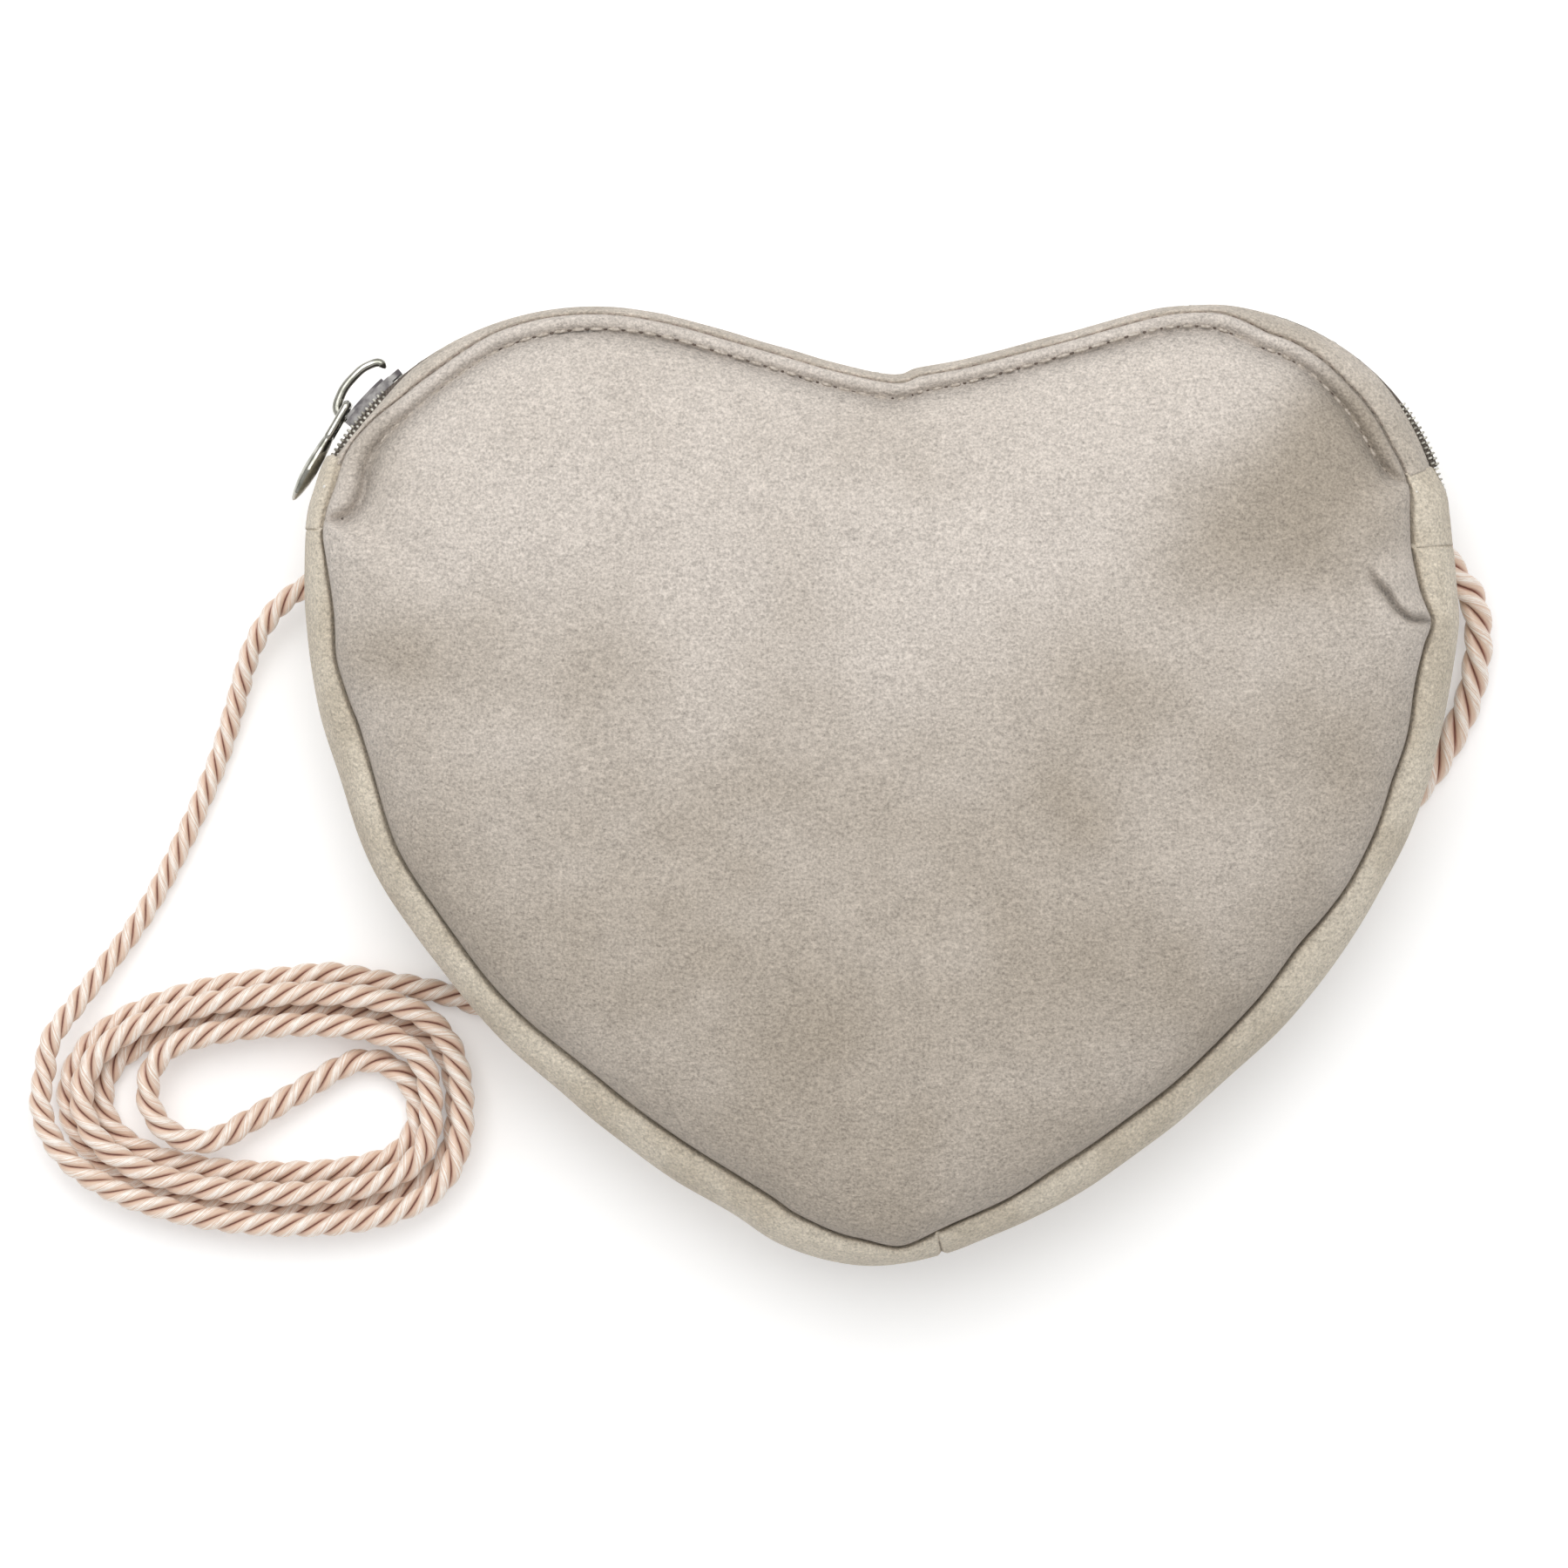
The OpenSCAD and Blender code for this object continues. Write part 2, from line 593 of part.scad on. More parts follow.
// The crossing turns left from the upper loops, runs through the hole and turns right into the lower ones
cross_r = 2 * cord_d;
cross_from = top_loops[top_last];
cross_to = low_loops[0];
from_heading = heading_of(cross_from - top_loops[top_last - 1]);
to_heading = heading_of(low_loops[1] - cross_to);
from_mid = cross_from + cross_r * way(from_heading + 90);
to_mid = cross_to + cross_r * way(to_heading - 90);
cross_heading = heading_of(to_mid - from_mid) + asin(2 * cross_r / norm(to_mid - from_mid));
from_arc = positive(cross_heading - from_heading);
to_arc = positive(cross_heading - to_heading);
from_steps = round(from_arc / ring_turn);
to_steps = round(to_arc / ring_turn);
turn_in = [for (k = [0:from_steps]) from_mid + cross_r * way(from_heading + from_arc * k / from_steps - 90)];
turn_out = [for (k = [0:to_steps]) to_mid + cross_r * way(cross_heading - to_arc * k / to_steps + 90)];
straight = turn_out[0] - turn_in[from_steps];
straight_steps = ceil(norm(straight) / loop_step);
cross_flat = concat(
    turn_in,
    [for (k = [1:straight_steps - 1]) turn_in[from_steps] + straight * k / straight_steps],
    turn_out
);
function ease(t) = t * t * (3 - 2 * t);
cross_runs = runs(cross_flat);
cross_last = len(cross_flat) - 1;
crossing = [for (k = [1:cross_last - 1])
    cross_flat[k] + [0, 0, lerp(top_z, cord_r, ease(cross_runs[k] / cross_runs[cross_last]))]];
coil_turns = concat(raised(top_loops, top_z), crossing, raised(low_loops, cord_r));
coil_start_way = unit(top_loops[0] - top_loops[1]);
coil_stop_way = unit(low_loops[low_last] - low_loops[low_last - 1]);
coil_start = top_loops[0] + [0, 0, top_z] + cord_d * coil_start_way;
coil_stop = low_loops[low_last] + [0, 0, cord_r] + cord_d * coil_stop_way;
coil_path = concat([coil_start], coil_turns, [coil_stop]);

left_exit_u = 16.45;
right_exit_u = 62.8;
left_heading = 212;
right_heading = 300;
anchor_z = back_seam_z - layer_gap;
// How far in from the rim the inner end of each wrap lies
left_anchor_in = 1.8;
right_anchor_in = 0.2;
left_points = [
    [-114.2, 35.4, 8.3], [-118, 31, 7.3], [-120.8, 25.5, 5.8], [-123.4, 17, 3.6], [-126.5, 7, 2.5],
    [-130.5, -3, 2.5], [-135.6, -14, 2.5], [-142, -25.5, 2.8], [-148.3, -34.2, 4.4], [-154.4, -42.2, 6.8]
];
right_points = [
    [-96, -38, 2.5], [-87, -39.5, 2.5], [-79, -41.5, 2.5], [-71, -45.5, 2.5],
    [-62, -52, 2.5], [-50, -61, 2.5], [-38, -69, 2.5], [-25, -77, 2.5], [-13, -83, 2.5],
    [0, -85, 2.5], [13, -83, 2.5], [26, -77, 2.5], [38, -70, 2.5], [50, -61, 2.5],
    [62, -51, 2.5], [73, -40, 2.5], [84, -28, 2.5], [94, -16, 2.5], [103, -4, 2.5],
    [109, 5.5, 2.5], [113, 16, 4], [115, 27, 6.5], [114.5, 35, 8.2]
];
left_exit = place(left_exit_u, left_anchor_in, anchor_z) + anchor_l * way(left_heading);
right_exit = place(right_exit_u, right_anchor_in, anchor_z) + anchor_l * way(right_heading);
left_path = concat(
    [left_exit, left_exit + cord_r * way(left_heading)],
    left_points,
    [coil_start + cord_r * coil_start_way, coil_start]
);
right_path = concat(
    [coil_stop, coil_stop + cord_r * coil_stop_way],
    right_points,
    [right_exit + cord_r * way(right_heading), right_exit]
);

// A tube along a path, with rings square to it
module tube(path, r, sides) {
    m = len(path);
    ways = [for (k = [0:m - 1]) unit(path[min(m - 1, k + 1)] - path[max(0, k - 1)])];
    points = [for (k = [0:m - 1])
        let (side = unit(cross(ways[k], [0, 0, 1])), top = cross(side, ways[k]))
        for (j = [0:sides - 1]) path[k] + r * (cos(90 + 360 * j / sides) * side + sin(90 + 360 * j / sides) * top)];
    faces = concat(
        [for (k = [0:m - 2], j = [0:sides - 1]) let (a = k * sides + j, b = k * sides + (j + 1) % sides)
            [a, b, b + sides]],
        [for (k = [0:m - 2], j = [0:sides - 1]) let (a = k * sides + j, b = k * sides + (j + 1) % sides)
            [a, b + sides, a + sides]],
        [for (j = [1:sides - 2]) [0, j + 1, j]],
        [for (j = [1:sides - 2]) [(m - 1) * sides, (m - 1) * sides + j, (m - 1) * sides + j + 1]]
    );
    polyhedron(points = points, faces = faces);
}

module strap_left_run() {
    color("#ebcdb4") tube(left_path, cord_r, 8);
}

module strap_coil() {
    color("#ebcdb4") tube(coil_path, cord_r, coil_sides);
}

module strap_right_run() {
    color("#ebcdb4") tube(right_path, cord_r, 8);
}

// A sewn suede wrap holds each end of the cord against the band, just above the back seam
module anchor(inner_end, heading) {
    color("#a99d8f")
        translate(inner_end) rotate([0, 90, heading]) cylinder(d = anchor_d, h = anchor_l, $fn = 48);
}

module strap_anchor_left() {
    anchor(place(left_exit_u, left_anchor_in, anchor_z), left_heading);
}

module strap_anchor_right() {
    anchor(place(right_exit_u, right_anchor_in, anchor_z), right_heading);
}

// The coil's least gap to itself, measured on the path's points more than a loop's sixth apart
apart = 4;
coil_gap = min([for (a = [0:len(coil_path) - 1 - apart]) for (b = [a + apart:len(coil_path) - 1])
    norm(coil_path[a] - coil_path[b])]) - cord_d;
function path_l(path) = let (r = runs(path)) r[len(r) - 1];
echo(coil_gap = coil_gap);
echo(strap_length = path_l(left_path) + path_l(coil_path) + path_l(right_path));

front_panel();
back_panel();
gusset_left();
gusset_right();
end_tab_left();
end_tab_right();
zip_facing_front();
zip_facing_back();
zip_tape_front();
zip_tape_back();
zip_teeth_front();
zip_teeth_back();
zip_stops();
front_lining();
back_lining();
gusset_lining();
front_seam_binding();
back_seam_binding();
slider_body();
slider_bail();
zip_pull();
strap_anchor_left();
strap_anchor_right();
strap_left_run();
strap_coil();
strap_right_run();
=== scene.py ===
# %% [markdown]
# # A heart shaped suede purse
# The purse lies on its back on a table: two puffed heart shaped panels, a band between them, a zip round
# the top and a twisted cord strap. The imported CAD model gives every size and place. This script dresses it:
# it makes the suede skins, the stitches, the metal and the cord, and gives each of them its finish.

# %% Load the fixed frame
import math
import bpy
import numpy as np
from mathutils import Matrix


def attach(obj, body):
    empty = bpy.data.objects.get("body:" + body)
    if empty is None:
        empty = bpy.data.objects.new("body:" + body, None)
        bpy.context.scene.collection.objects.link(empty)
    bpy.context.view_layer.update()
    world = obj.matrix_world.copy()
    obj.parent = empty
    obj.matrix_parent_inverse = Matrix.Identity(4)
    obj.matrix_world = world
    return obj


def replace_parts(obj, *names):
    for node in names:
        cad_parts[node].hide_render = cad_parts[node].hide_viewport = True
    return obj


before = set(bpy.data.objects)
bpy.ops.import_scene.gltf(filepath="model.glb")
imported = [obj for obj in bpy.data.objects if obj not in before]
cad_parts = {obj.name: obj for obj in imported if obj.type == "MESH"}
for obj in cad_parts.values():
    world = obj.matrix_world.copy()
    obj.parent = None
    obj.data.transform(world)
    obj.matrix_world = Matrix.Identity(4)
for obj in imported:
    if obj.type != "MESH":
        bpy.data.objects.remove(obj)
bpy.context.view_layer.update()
MM = 0.001
print("nodes in the frame:", len(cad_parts))

# %% [markdown]
# The picture is taken from straight above with a long lens, so the camera stands well back and looks down.
# The width that it sees is set at the height of the heart's widest line, which is what the eye measures.

# %% Camera
view_w = 299.3 * MM
view_from = 1500 * MM
view_mid = (-17.7 * MM, 0.3 * MM)
rim_level = 24 * MM

camera = bpy.data.objects.new("camera", bpy.data.cameras.new("camera"))
bpy.context.scene.collection.objects.link(camera)
camera.data.lens = camera.data.sensor_width * view_from / view_w
camera.location = (view_mid[0], view_mid[1], rim_level + view_from)
bpy.context.scene.camera = camera
print("lens in mm:", round(camera.data.lens, 1))

# %% [markdown]
# ## Helpers for meshes
# Every soft piece here is a grid of points that is worked out with numpy and then skinned with quads. A
# modelling program could do it with subdivision surfaces, but a formula keeps each seam exactly on the CAD
# model's line. Smooth noise from a small table of random numbers makes cloth look less perfect.

# %% Turn grids of points into mesh pieces
def grid_faces(rows, cols, ring):
    """Quads over a grid that is stored row after row; a ring joins its last column to the first."""
    last = cols if ring else cols - 1
    return [(r * cols + c, r * cols + (c + 1) % cols, (r + 1) * cols + (c + 1) % cols, (r + 1) * cols + c)
            for r in range(rows - 1) for c in range(last)]


def bar_faces(rows, cols, first=0):
    """The faces of a closed round bar, whose points start at a number: quads all round and two ends."""
    quads = [tuple(first + i for i in quad) for quad in grid_faces(rows, cols, True)]
    near_end = tuple(first + i for i in reversed(range(cols)))
    far_end = tuple(first + (rows - 1) * cols + i for i in range(cols))
    return quads + [near_end, far_end]


def bare_piece(name, points, faces):
    """A mesh object in the scene, from points and faces."""
    mesh = bpy.data.meshes.new(name)
    mesh.from_pydata(np.asarray(points, float).tolist(), [], faces)
    piece = bpy.data.objects.new(name, mesh)
    bpy.context.scene.collection.objects.link(piece)
    return piece


def mesh_piece(name, points, faces, body="bag", slot="suede"):
    """A smooth shaded mesh object that rides on a body. Its slot is not used."""
    piece = bare_piece(name, points, faces)
    piece.data.update()
    piece.data.shade_smooth()
    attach(piece, body)
    return piece


def grid_piece(name, grid, ring=False, **where):
    """A piece skinned over one grid of points."""
    rows, cols = grid.shape[:2]
    return mesh_piece(name, grid.reshape(-1, 3), grid_faces(rows, cols, ring), **where)


def thicken(piece, thick, offset=-1):
    """Gives a skin its thickness, to its inside unless told otherwise."""
    solid = piece.modifiers.new("thickness", "SOLIDIFY")
    solid.thickness = thick
    solid.offset = offset
    return piece


def mark(piece, name, values, kind="FLOAT"):
    """Stores a value or a vector at each point of a piece, for its finish to read."""
    layer = piece.data.attributes.new(name, kind, "POINT")
    key = "value" if kind == "FLOAT" else "vector"
    layer.data.foreach_set(key, np.asarray(values, np.float32).reshape(-1))


# %% Soft noise, shares and smooth steps
def soft_noise(x, y, size, seed):
    """Smooth noise from -1 to 1 over a plane, with bumps about one size across."""
    table = np.random.default_rng(seed).uniform(-1, 1, (64, 64))
    a, b = np.asarray(x) / size, np.asarray(y) / size
    i, j = np.floor(a).astype(int), np.floor(b).astype(int)
    s, t = ease(a - i), ease(b - j)
    near = table[i % 64, j % 64] * (1 - s) + table[(i + 1) % 64, j % 64] * s
    far = table[i % 64, (j + 1) % 64] * (1 - s) + table[(i + 1) % 64, (j + 1) % 64] * s
    return near * (1 - t) + far * t


def ease(t):
    """A smooth step from 0 to 1."""
    t = np.clip(t, 0, 1)
    return t * t * (3 - 2 * t)


def hill(d, width):
    """A bell that is 1 at no distance."""
    return np.exp(-(d / width) ** 2)


def run_of(line):
    """How far along a line each of its points is."""
    return np.r_[0, np.cumsum(np.linalg.norm(np.diff(line, axis=0), axis=1))]


# %% [markdown]
# ## The cord's route
# The strap is one length of cord, so one line has to run through all of it: from the left exit down to the
# table, round the coil, under the curled edge of the bag and up to the right exit. The points are those of
# the CAD model. A coil is worked out by a loop, because its turns follow a rule.

# %% The coil's turns
cord_d = 5 * MM
cord_r = cord_d / 2
coil_mid = np.array([-119, -61, 0]) * MM
coil_out_r, coil_in_r, coil_half_l = 25.5 * MM, 13.5 * MM, 17 * MM
coil_shrink, coil_drift, coil_lean, egg_share = 1 * MM, 1 * MM, 5 * MM, 0.09
loop_step, layer_step, low_in = 6 * MM, 5.6 * MM, 1.6 * MM
top_from, top_turn, low_from, low_turn = 165, 675, -60, 570
ring_turn = 15
top_z = cord_r + layer_step
low_step = (coil_out_r - low_in - coil_in_r) / (low_turn / 360)


def way(heading):
    """A level unit vector at a heading in degrees."""
    return np.array([math.cos(math.radians(heading)), math.sin(math.radians(heading)), 0])


def heading_of(v):
    return math.degrees(math.atan2(v[1], v[0]))


def unit(v):
    """A way, or rows of ways, of length 1."""
    return v / np.linalg.norm(v, axis=-1, keepdims=True)


def oval(a, r, half_l, shift, z):
    """A place on a leaning oval with round ends."""
    c, s, big = math.cos(math.radians(a)), math.sin(math.radians(a)), r / coil_out_r
    along = shift + half_l * (3 - c * c) * c / 2 + r * c + coil_lean * big * s * s
    return coil_mid + np.array([along, r * s * (1 + egg_share * big * c), z])


def top_point(a):
    turns = (a - top_from) / 360
    half_l = coil_half_l - coil_shrink * turns
    return oval(a, coil_out_r - loop_step * turns, half_l, coil_drift * turns, top_z)


def low_point(a):
    turns = (low_from - a) / 360
    return oval(a, coil_in_r + low_step * turns, coil_half_l, 2 * coil_drift, cord_r)


top_loops = [top_point(a) for a in range(top_from, top_from + top_turn + 1, ring_turn)]
low_loops = [low_point(a) for a in range(low_from, low_from - low_turn - 1, -ring_turn)]
print("points in the upper and lower loops:", len(top_loops), len(low_loops))


# %% The crossing from the upper loops down to the lower ones
cross_r = 2 * cord_d
level = np.array([1, 1, 0])
cross_from, cross_to = top_loops[-1] * level, low_loops[0] * level
from_heading = heading_of(cross_from - top_loops[-2])
to_heading = heading_of(low_loops[1] - cross_to)
from_mid = cross_from + cross_r * way(from_heading + 90)
to_mid = cross_to + cross_r * way(to_heading - 90)
cross_heading = heading_of(to_mid - from_mid) + math.degrees(
    math.asin(2 * cross_r / np.linalg.norm(to_mid - from_mid)))
from_arc = (cross_heading - from_heading) % 360
to_arc = (cross_heading - to_heading) % 360
turn_in = [from_mid + cross_r * way(from_heading + from_arc * t - 90) for t in np.linspace(0, 1, 14)]
turn_out = [to_mid + cross_r * way(cross_heading - to_arc * t + 90) for t in np.linspace(0, 1, 14)]
straight = [turn_in[-1] + (turn_out[0] - turn_in[-1]) * t for t in np.linspace(0, 1, 6)[1:-1]]
cross_line = np.array(turn_in + straight + turn_out)
cross_run = run_of(cross_line)
cross_line[:, 2] = top_z + (cord_r - top_z) * ease(cross_run / cross_run[-1])
print("the crossing is", round(cross_run[-1] / MM), "mm long")

# %% The whole route and a smooth line through it
left_exit = np.array([-109.441, 38.69, 8.7]) * MM
right_exit = np.array([111.028, 42.0192, 8.7]) * MM
left_heading, right_heading = 212, 300
left_points = [
    [-114.2, 35.4, 8.3], [-118, 31, 7.3], [-120.8, 25.5, 5.8], [-123.4, 17, 3.6], [-126.5, 7, 2.5],
    [-130.5, -3, 2.5], [-135.6, -14, 2.5], [-142, -25.5, 2.8], [-148.3, -34.2, 4.4], [-154.4, -42.2, 6.8],
]
right_points = [
    [-96, -38, 2.5], [-87, -39.5, 2.5], [-79, -41.5, 2.5], [-71, -45.5, 2.5],
    [-62, -52, 2.5], [-50, -61, 2.5], [-38, -69, 2.5], [-25, -77, 2.5], [-13, -83, 2.5],
    [0, -85, 2.5], [13, -83, 2.5], [26, -77, 2.5], [38, -70, 2.5], [50, -61, 2.5],
    [62, -51, 2.5], [73, -40, 2.5], [84, -28, 2.5], [94, -15, 2.5], [101.5, -5, 2.5],
    [107.5, 2.5, 2.7], [111.2, 8.6, 3], [114.2, 15, 3.7], [116.1, 23, 5], [116.4, 30.5, 6.5],
    [114.9, 36.6, 8],
]
coil_start = top_loops[0] + cord_d * unit(top_loops[0] - top_loops[1])
coil_stop = low_loops[-1] + cord_d * unit(low_loops[-1] - low_loops[-2])
cord_in = 4.9 * MM
route = np.vstack([
    [left_exit - cord_in * way(left_heading), left_exit + cord_r * way(left_heading)],
    np.array(left_points) * MM,
    [coil_start], top_loops, cross_line[1:-1], low_loops, [coil_stop],
    np.array(right_points) * MM,
    [right_exit + cord_r * way(right_heading), right_exit - cord_in * way(right_heading)],
])


def smooth_line(points, step):
    """A smooth line through points of uneven spacing, cut into even steps."""
    gaps = np.linalg.norm(np.diff(points, axis=0), axis=1)[:, None]
    slopes = np.diff(points, axis=0) / gaps
    inner = (slopes[:-1] * gaps[1:] + slopes[1:] * gaps[:-1]) / (gaps[:-1] + gaps[1:])
    tangents = np.vstack([slopes[:1], inner, slopes[-1:]])
    fine = []
    t = np.linspace(0, 1, 24, endpoint=False)[:, None]
    for a, b, gap, leave, arrive in zip(points[:-1], points[1:], gaps, tangents[:-1], tangents[1:]):
        bend = (t ** 3 - 2 * t ** 2 + t) * leave + (t ** 3 - t ** 2) * arrive
        fine.append((2 * t ** 3 - 3 * t ** 2 + 1) * a + (3 * t ** 2 - 2 * t ** 3) * b + gap * bend)
    fine = np.vstack(fine + [points[-1:]])
    run = run_of(fine)
    even = np.linspace(0, run[-1], int(round(run[-1] / step)) + 1)
    return np.stack([np.interp(even, run, fine[:, k]) for k in range(3)], -1), run[-1]


cord_line, cord_length = smooth_line(route, 0.8 * MM)
print("the cord is", round(cord_length, 3), "m long")

# %% [markdown]
# ## The twisted cord
# A satin cord is three plump strands laid round each other. A single tube with a bump map looks flat where
# it turns against the light, so each strand is a tube of its own on a helix about the cord's line. A frame
# that is carried along the line without twisting keeps the lay even round the bends.

# %% Three strands on helices
lay_l = 15 * MM
loose_share, loose_l = 0.18, 72 * MM
tight_share, tight_l = 0.12, 150 * MM
full_share, full_in_l = 0.18, 20 * MM
thin_share, thin_in_l = 0.12, 60 * MM
strand_off, strand_r = 1.3 * MM, 1.14 * MM
strand_sides = 12
thread_turn_l = 26 * MM


def carried_frames(line):
    """Tangents and two side vectors along a line, carried without twist."""
    tangents = unit(np.gradient(line, axis=0))
    side = unit(np.cross(tangents[0], [0, 0, 1]))
    sides = []
    for t in tangents:
        side = unit(side - t * side.dot(t))
        sides.append(side)
    sides = np.array(sides)
    return tangents, sides, np.cross(tangents, sides)


def strand(line, start):
    """The grid of one strand. Its place holds where its threads lie, and how far out a point faces."""
    tangents, sides, ups = carried_frames(line)
    run = run_of(line)
    by_loose = run - run[-1] + loose_l
    laid = run - loose_share * np.maximum(by_loose, 0) + tight_share * np.minimum(run, tight_l)
    turn = (start - 2 * math.pi * laid / lay_l)[:, None]
    out = np.cos(turn) * sides + np.sin(turn) * ups
    plump = 1 + full_share * ease(by_loose / full_in_l) - thin_share * ease((tight_l - run) / thin_in_l)
    plump = plump[:, None]
    middle = line + plump * strand_off * out
    along = unit(np.gradient(middle, axis=0))
    out = unit(out - along * np.sum(out * along, axis=1)[:, None])
    across = np.cross(along, out)
    a = np.linspace(-math.pi, math.pi, strand_sides, endpoint=False)
    spokes = np.cos(a)[None, :, None] * out[:, None] + np.sin(a)[None, :, None] * across[:, None]
    grid = middle[:, None] + plump[:, None] * strand_r * spokes
    b = a[None, :] + 2 * math.pi * run[:, None] / thread_turn_l
    place = np.stack([np.cos(b), np.sin(b), np.broadcast_to(np.cos(a), b.shape)], -1)
    return grid, place


points, faces, places = [], [], []
for k in range(3):
    grid, place = strand(cord_line, 2 * math.pi * k / 3)
    faces += bar_faces(*grid.shape[:2], first=sum(len(p) for p in points))
    points.append(grid.reshape(-1, 3))
    places.append(place.reshape(-1, 3))
strap = mesh_piece("twisted_strap", np.vstack(points), faces, slot="cord")
mark(strap, "thread", np.vstack(places), "FLOAT_VECTOR")
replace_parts(strap, "strap_left_run", "strap_coil", "strap_right_run")
print("points in the cord:", len(strap.data.vertices))

# %% [markdown]
# ## The heart's rim
# Every sewn piece hangs on one closed line, the widest line round the bag. It is the CAD model's: arcs for
# the lobes, a few points for the flanks and the dip, and a smooth curve through them. A place u on it counts
# two to each point and is 6.65 mm long on average. The band, the tabs and the zip say with it where they
# start and end.

# %% The rim
half_w, half_h = 110.5 * MM, 91.5 * MM
back_seam_z, front_seam_z, crown_rise = 9 * MM, 38 * MM, 14 * MM
lobe_r = 0.522 * half_w
lobe = np.array([-0.487 * half_w, 0.364 * half_h])
right_lobe_r = 0.431 * half_w
right_lobe = np.array([0.562 * half_w, 0.478 * half_h])
flank_shares = [
    [-0.989, 0.477], [-0.982, 0.293], [-0.963, 0.162], [-0.932, 0.04], [-0.866, -0.181],
    [-0.762, -0.369], [-0.65, -0.529], [-0.523, -0.661], [-0.395, -0.787], [-0.251, -0.891],
    [-0.174, -0.951], [-0.09, -0.987], [0, -1], [0.09, -0.984], [0.174, -0.951],
    [0.332, -0.86], [0.473, -0.745], [0.601, -0.612], [0.728, -0.467], [0.836, -0.289],
    [0.925, -0.079], [0.971, 0.091], [1.002, 0.298], [1, 0.423],
]
dip_shares = [
    [0.332, 0.941], [0.234, 0.91], [0.148, 0.883], [0.071, 0.866], [0.028, 0.852],
    [-0.073, 0.877], [-0.153, 0.905], [-0.242, 0.936],
]


def on_arc(c, r, degrees):
    a = np.radians(degrees)
    return c + r * np.stack([np.cos(a), np.sin(a)], -1)


keys = np.vstack([
    on_arc(lobe, lobe_r, np.arange(76, 161, 12)),
    np.array(flank_shares) * [half_w, half_h],
    on_arc(right_lobe, right_lobe_r, np.append(np.arange(10, 95, 12), 104)),
    np.array(dip_shares) * [half_w, half_h],
])
key_count = len(keys)
whole_rim = 2 * key_count


def rim_parts(u):
    """The powers of the smooth curve through the keys, at places u."""
    u = np.asarray(u, float) % whole_rim
    k = np.floor(u / 2).astype(int)
    a, b, c, d = (keys[(k + j) % key_count] for j in (-1, 0, 1, 2))
    return (u / 2 - k)[..., None], 2 * b, c - a, 2 * a - 5 * b + 4 * c - d, 3 * b - a - 3 * c + d


def rim(u):
    t, p0, p1, p2, p3 = rim_parts(u)
    return (p0 + p1 * t + p2 * t ** 2 + p3 * t ** 3) / 2


def outward(u):
    """The level way out of the heart at places u."""
    t, _, p1, p2, p3 = rim_parts(u)
    d = unit(p1 + 2 * p2 * t + 3 * p3 * t ** 2)
    return np.stack([d[..., 1], -d[..., 0]], -1)


top_inset, side_inset, low_left_inset, low_right_inset, tip_inset = np.array([1.5, 4.8, 7, 5.6, 3.2]) * MM
inset_table = np.array([
    [0, top_inset], [11, top_inset], [17, side_inset], [24, side_inset], [29, low_left_inset],
    [34, low_left_inset], [39, tip_inset], [42, tip_inset], [47, low_right_inset],
    [60, low_right_inset], [65, side_inset], [70, top_inset], [whole_rim, top_inset],
])


# %% The front seam, which wavers as hand guided sewing does
front_inset_table = np.array([
    [0, 1.8], [4, 1.8], [5.6, 2.1], [6.8, 3], [7.9, 3.6], [9.4, 3.6], [10.7, 2.6], [11.7, 2.2],
    [12.3, 2.6], [13, 3.6], [14.8, 4], [15.5, 4.2], [17, 5.9], [17.5, 6.1], [18.5, 5.6], [19.5, 6.2],
    [21, 7.1], [22, 6.9], [23.5, 6.3], [25, 6.7], [27, 6.3], [29, 7], [30.5, 7.2], [32, 7.8],
    [34, 7.2], [35, 7.4], [37, 6.8], [38.5, 5.9], [39.5, 5.5], [40.5, 4.3], [41, 3.7], [41.8, 4.4],
    [42.5, 5.2], [43.5, 5.7], [45, 5.8], [46, 7], [48, 7.1], [49.2, 6.6], [50, 6.7], [51.5, 7.7],
    [52.5, 8.3], [53, 8.6], [53.6, 7.7], [54.5, 6.7], [55.5, 6.7], [56.7, 7.6], [58, 7], [59, 7.8],
    [60, 7], [60.4, 5.7], [61, 6.7], [62, 8.2], [63, 9], [64, 8.4], [65.2, 7.1], [66.2, 6.9],
    [67.5, 7], [69.2, 6.2], [70.7, 5.7], [72.3, 4.7], [73.8, 4.1], [74.7, 4.2], [76, 2.6], [76.8, 1.8],
    [whole_rim, 1.8],
])


def evened(u, table, reach):
    """A table's values round the rim, evened out over five places within a reach."""
    near = [np.interp((np.asarray(u) + o * reach) % whole_rim, *table.T) for o in (-1, -0.5, 0, 0.5, 1)]
    return sum(near) / len(near)


def front_inset(u):
    """How far in from the rim the front seam lies."""
    return evened(u, front_inset_table, 0.3) * MM


def back_inset(u):
    """How far in from the rim the back seam lies."""
    return evened(u, inset_table, 1.2)


def raised(flat, z):
    """Level places with their heights."""
    return np.concatenate([flat, z[..., None]], -1)


def place(u, inset, z):
    """Points at places u round the rim, drawn in by an inset, at a height."""
    u, inset, z = np.broadcast_arrays(np.asarray(u, float), inset, z)
    level_place = rim(u) - inset[..., None] * outward(u)
    return raised(level_place, z)


tab_left_from, tab_left_to, band_joint, tab_right_from, tab_right_to = 12.4, 14.85, 42.6, 63.15, 65.8
zip_from, zip_to = tab_right_to, whole_rim + tab_left_from
rim_u = np.linspace(0, whole_rim, 784, endpoint=False)
place_l = 6.65 * MM
rim_l = np.linalg.norm(np.diff(rim(np.append(rim_u, 0)), axis=0), axis=1).sum()
print("the rim is", round(rim_l / MM), "mm round")

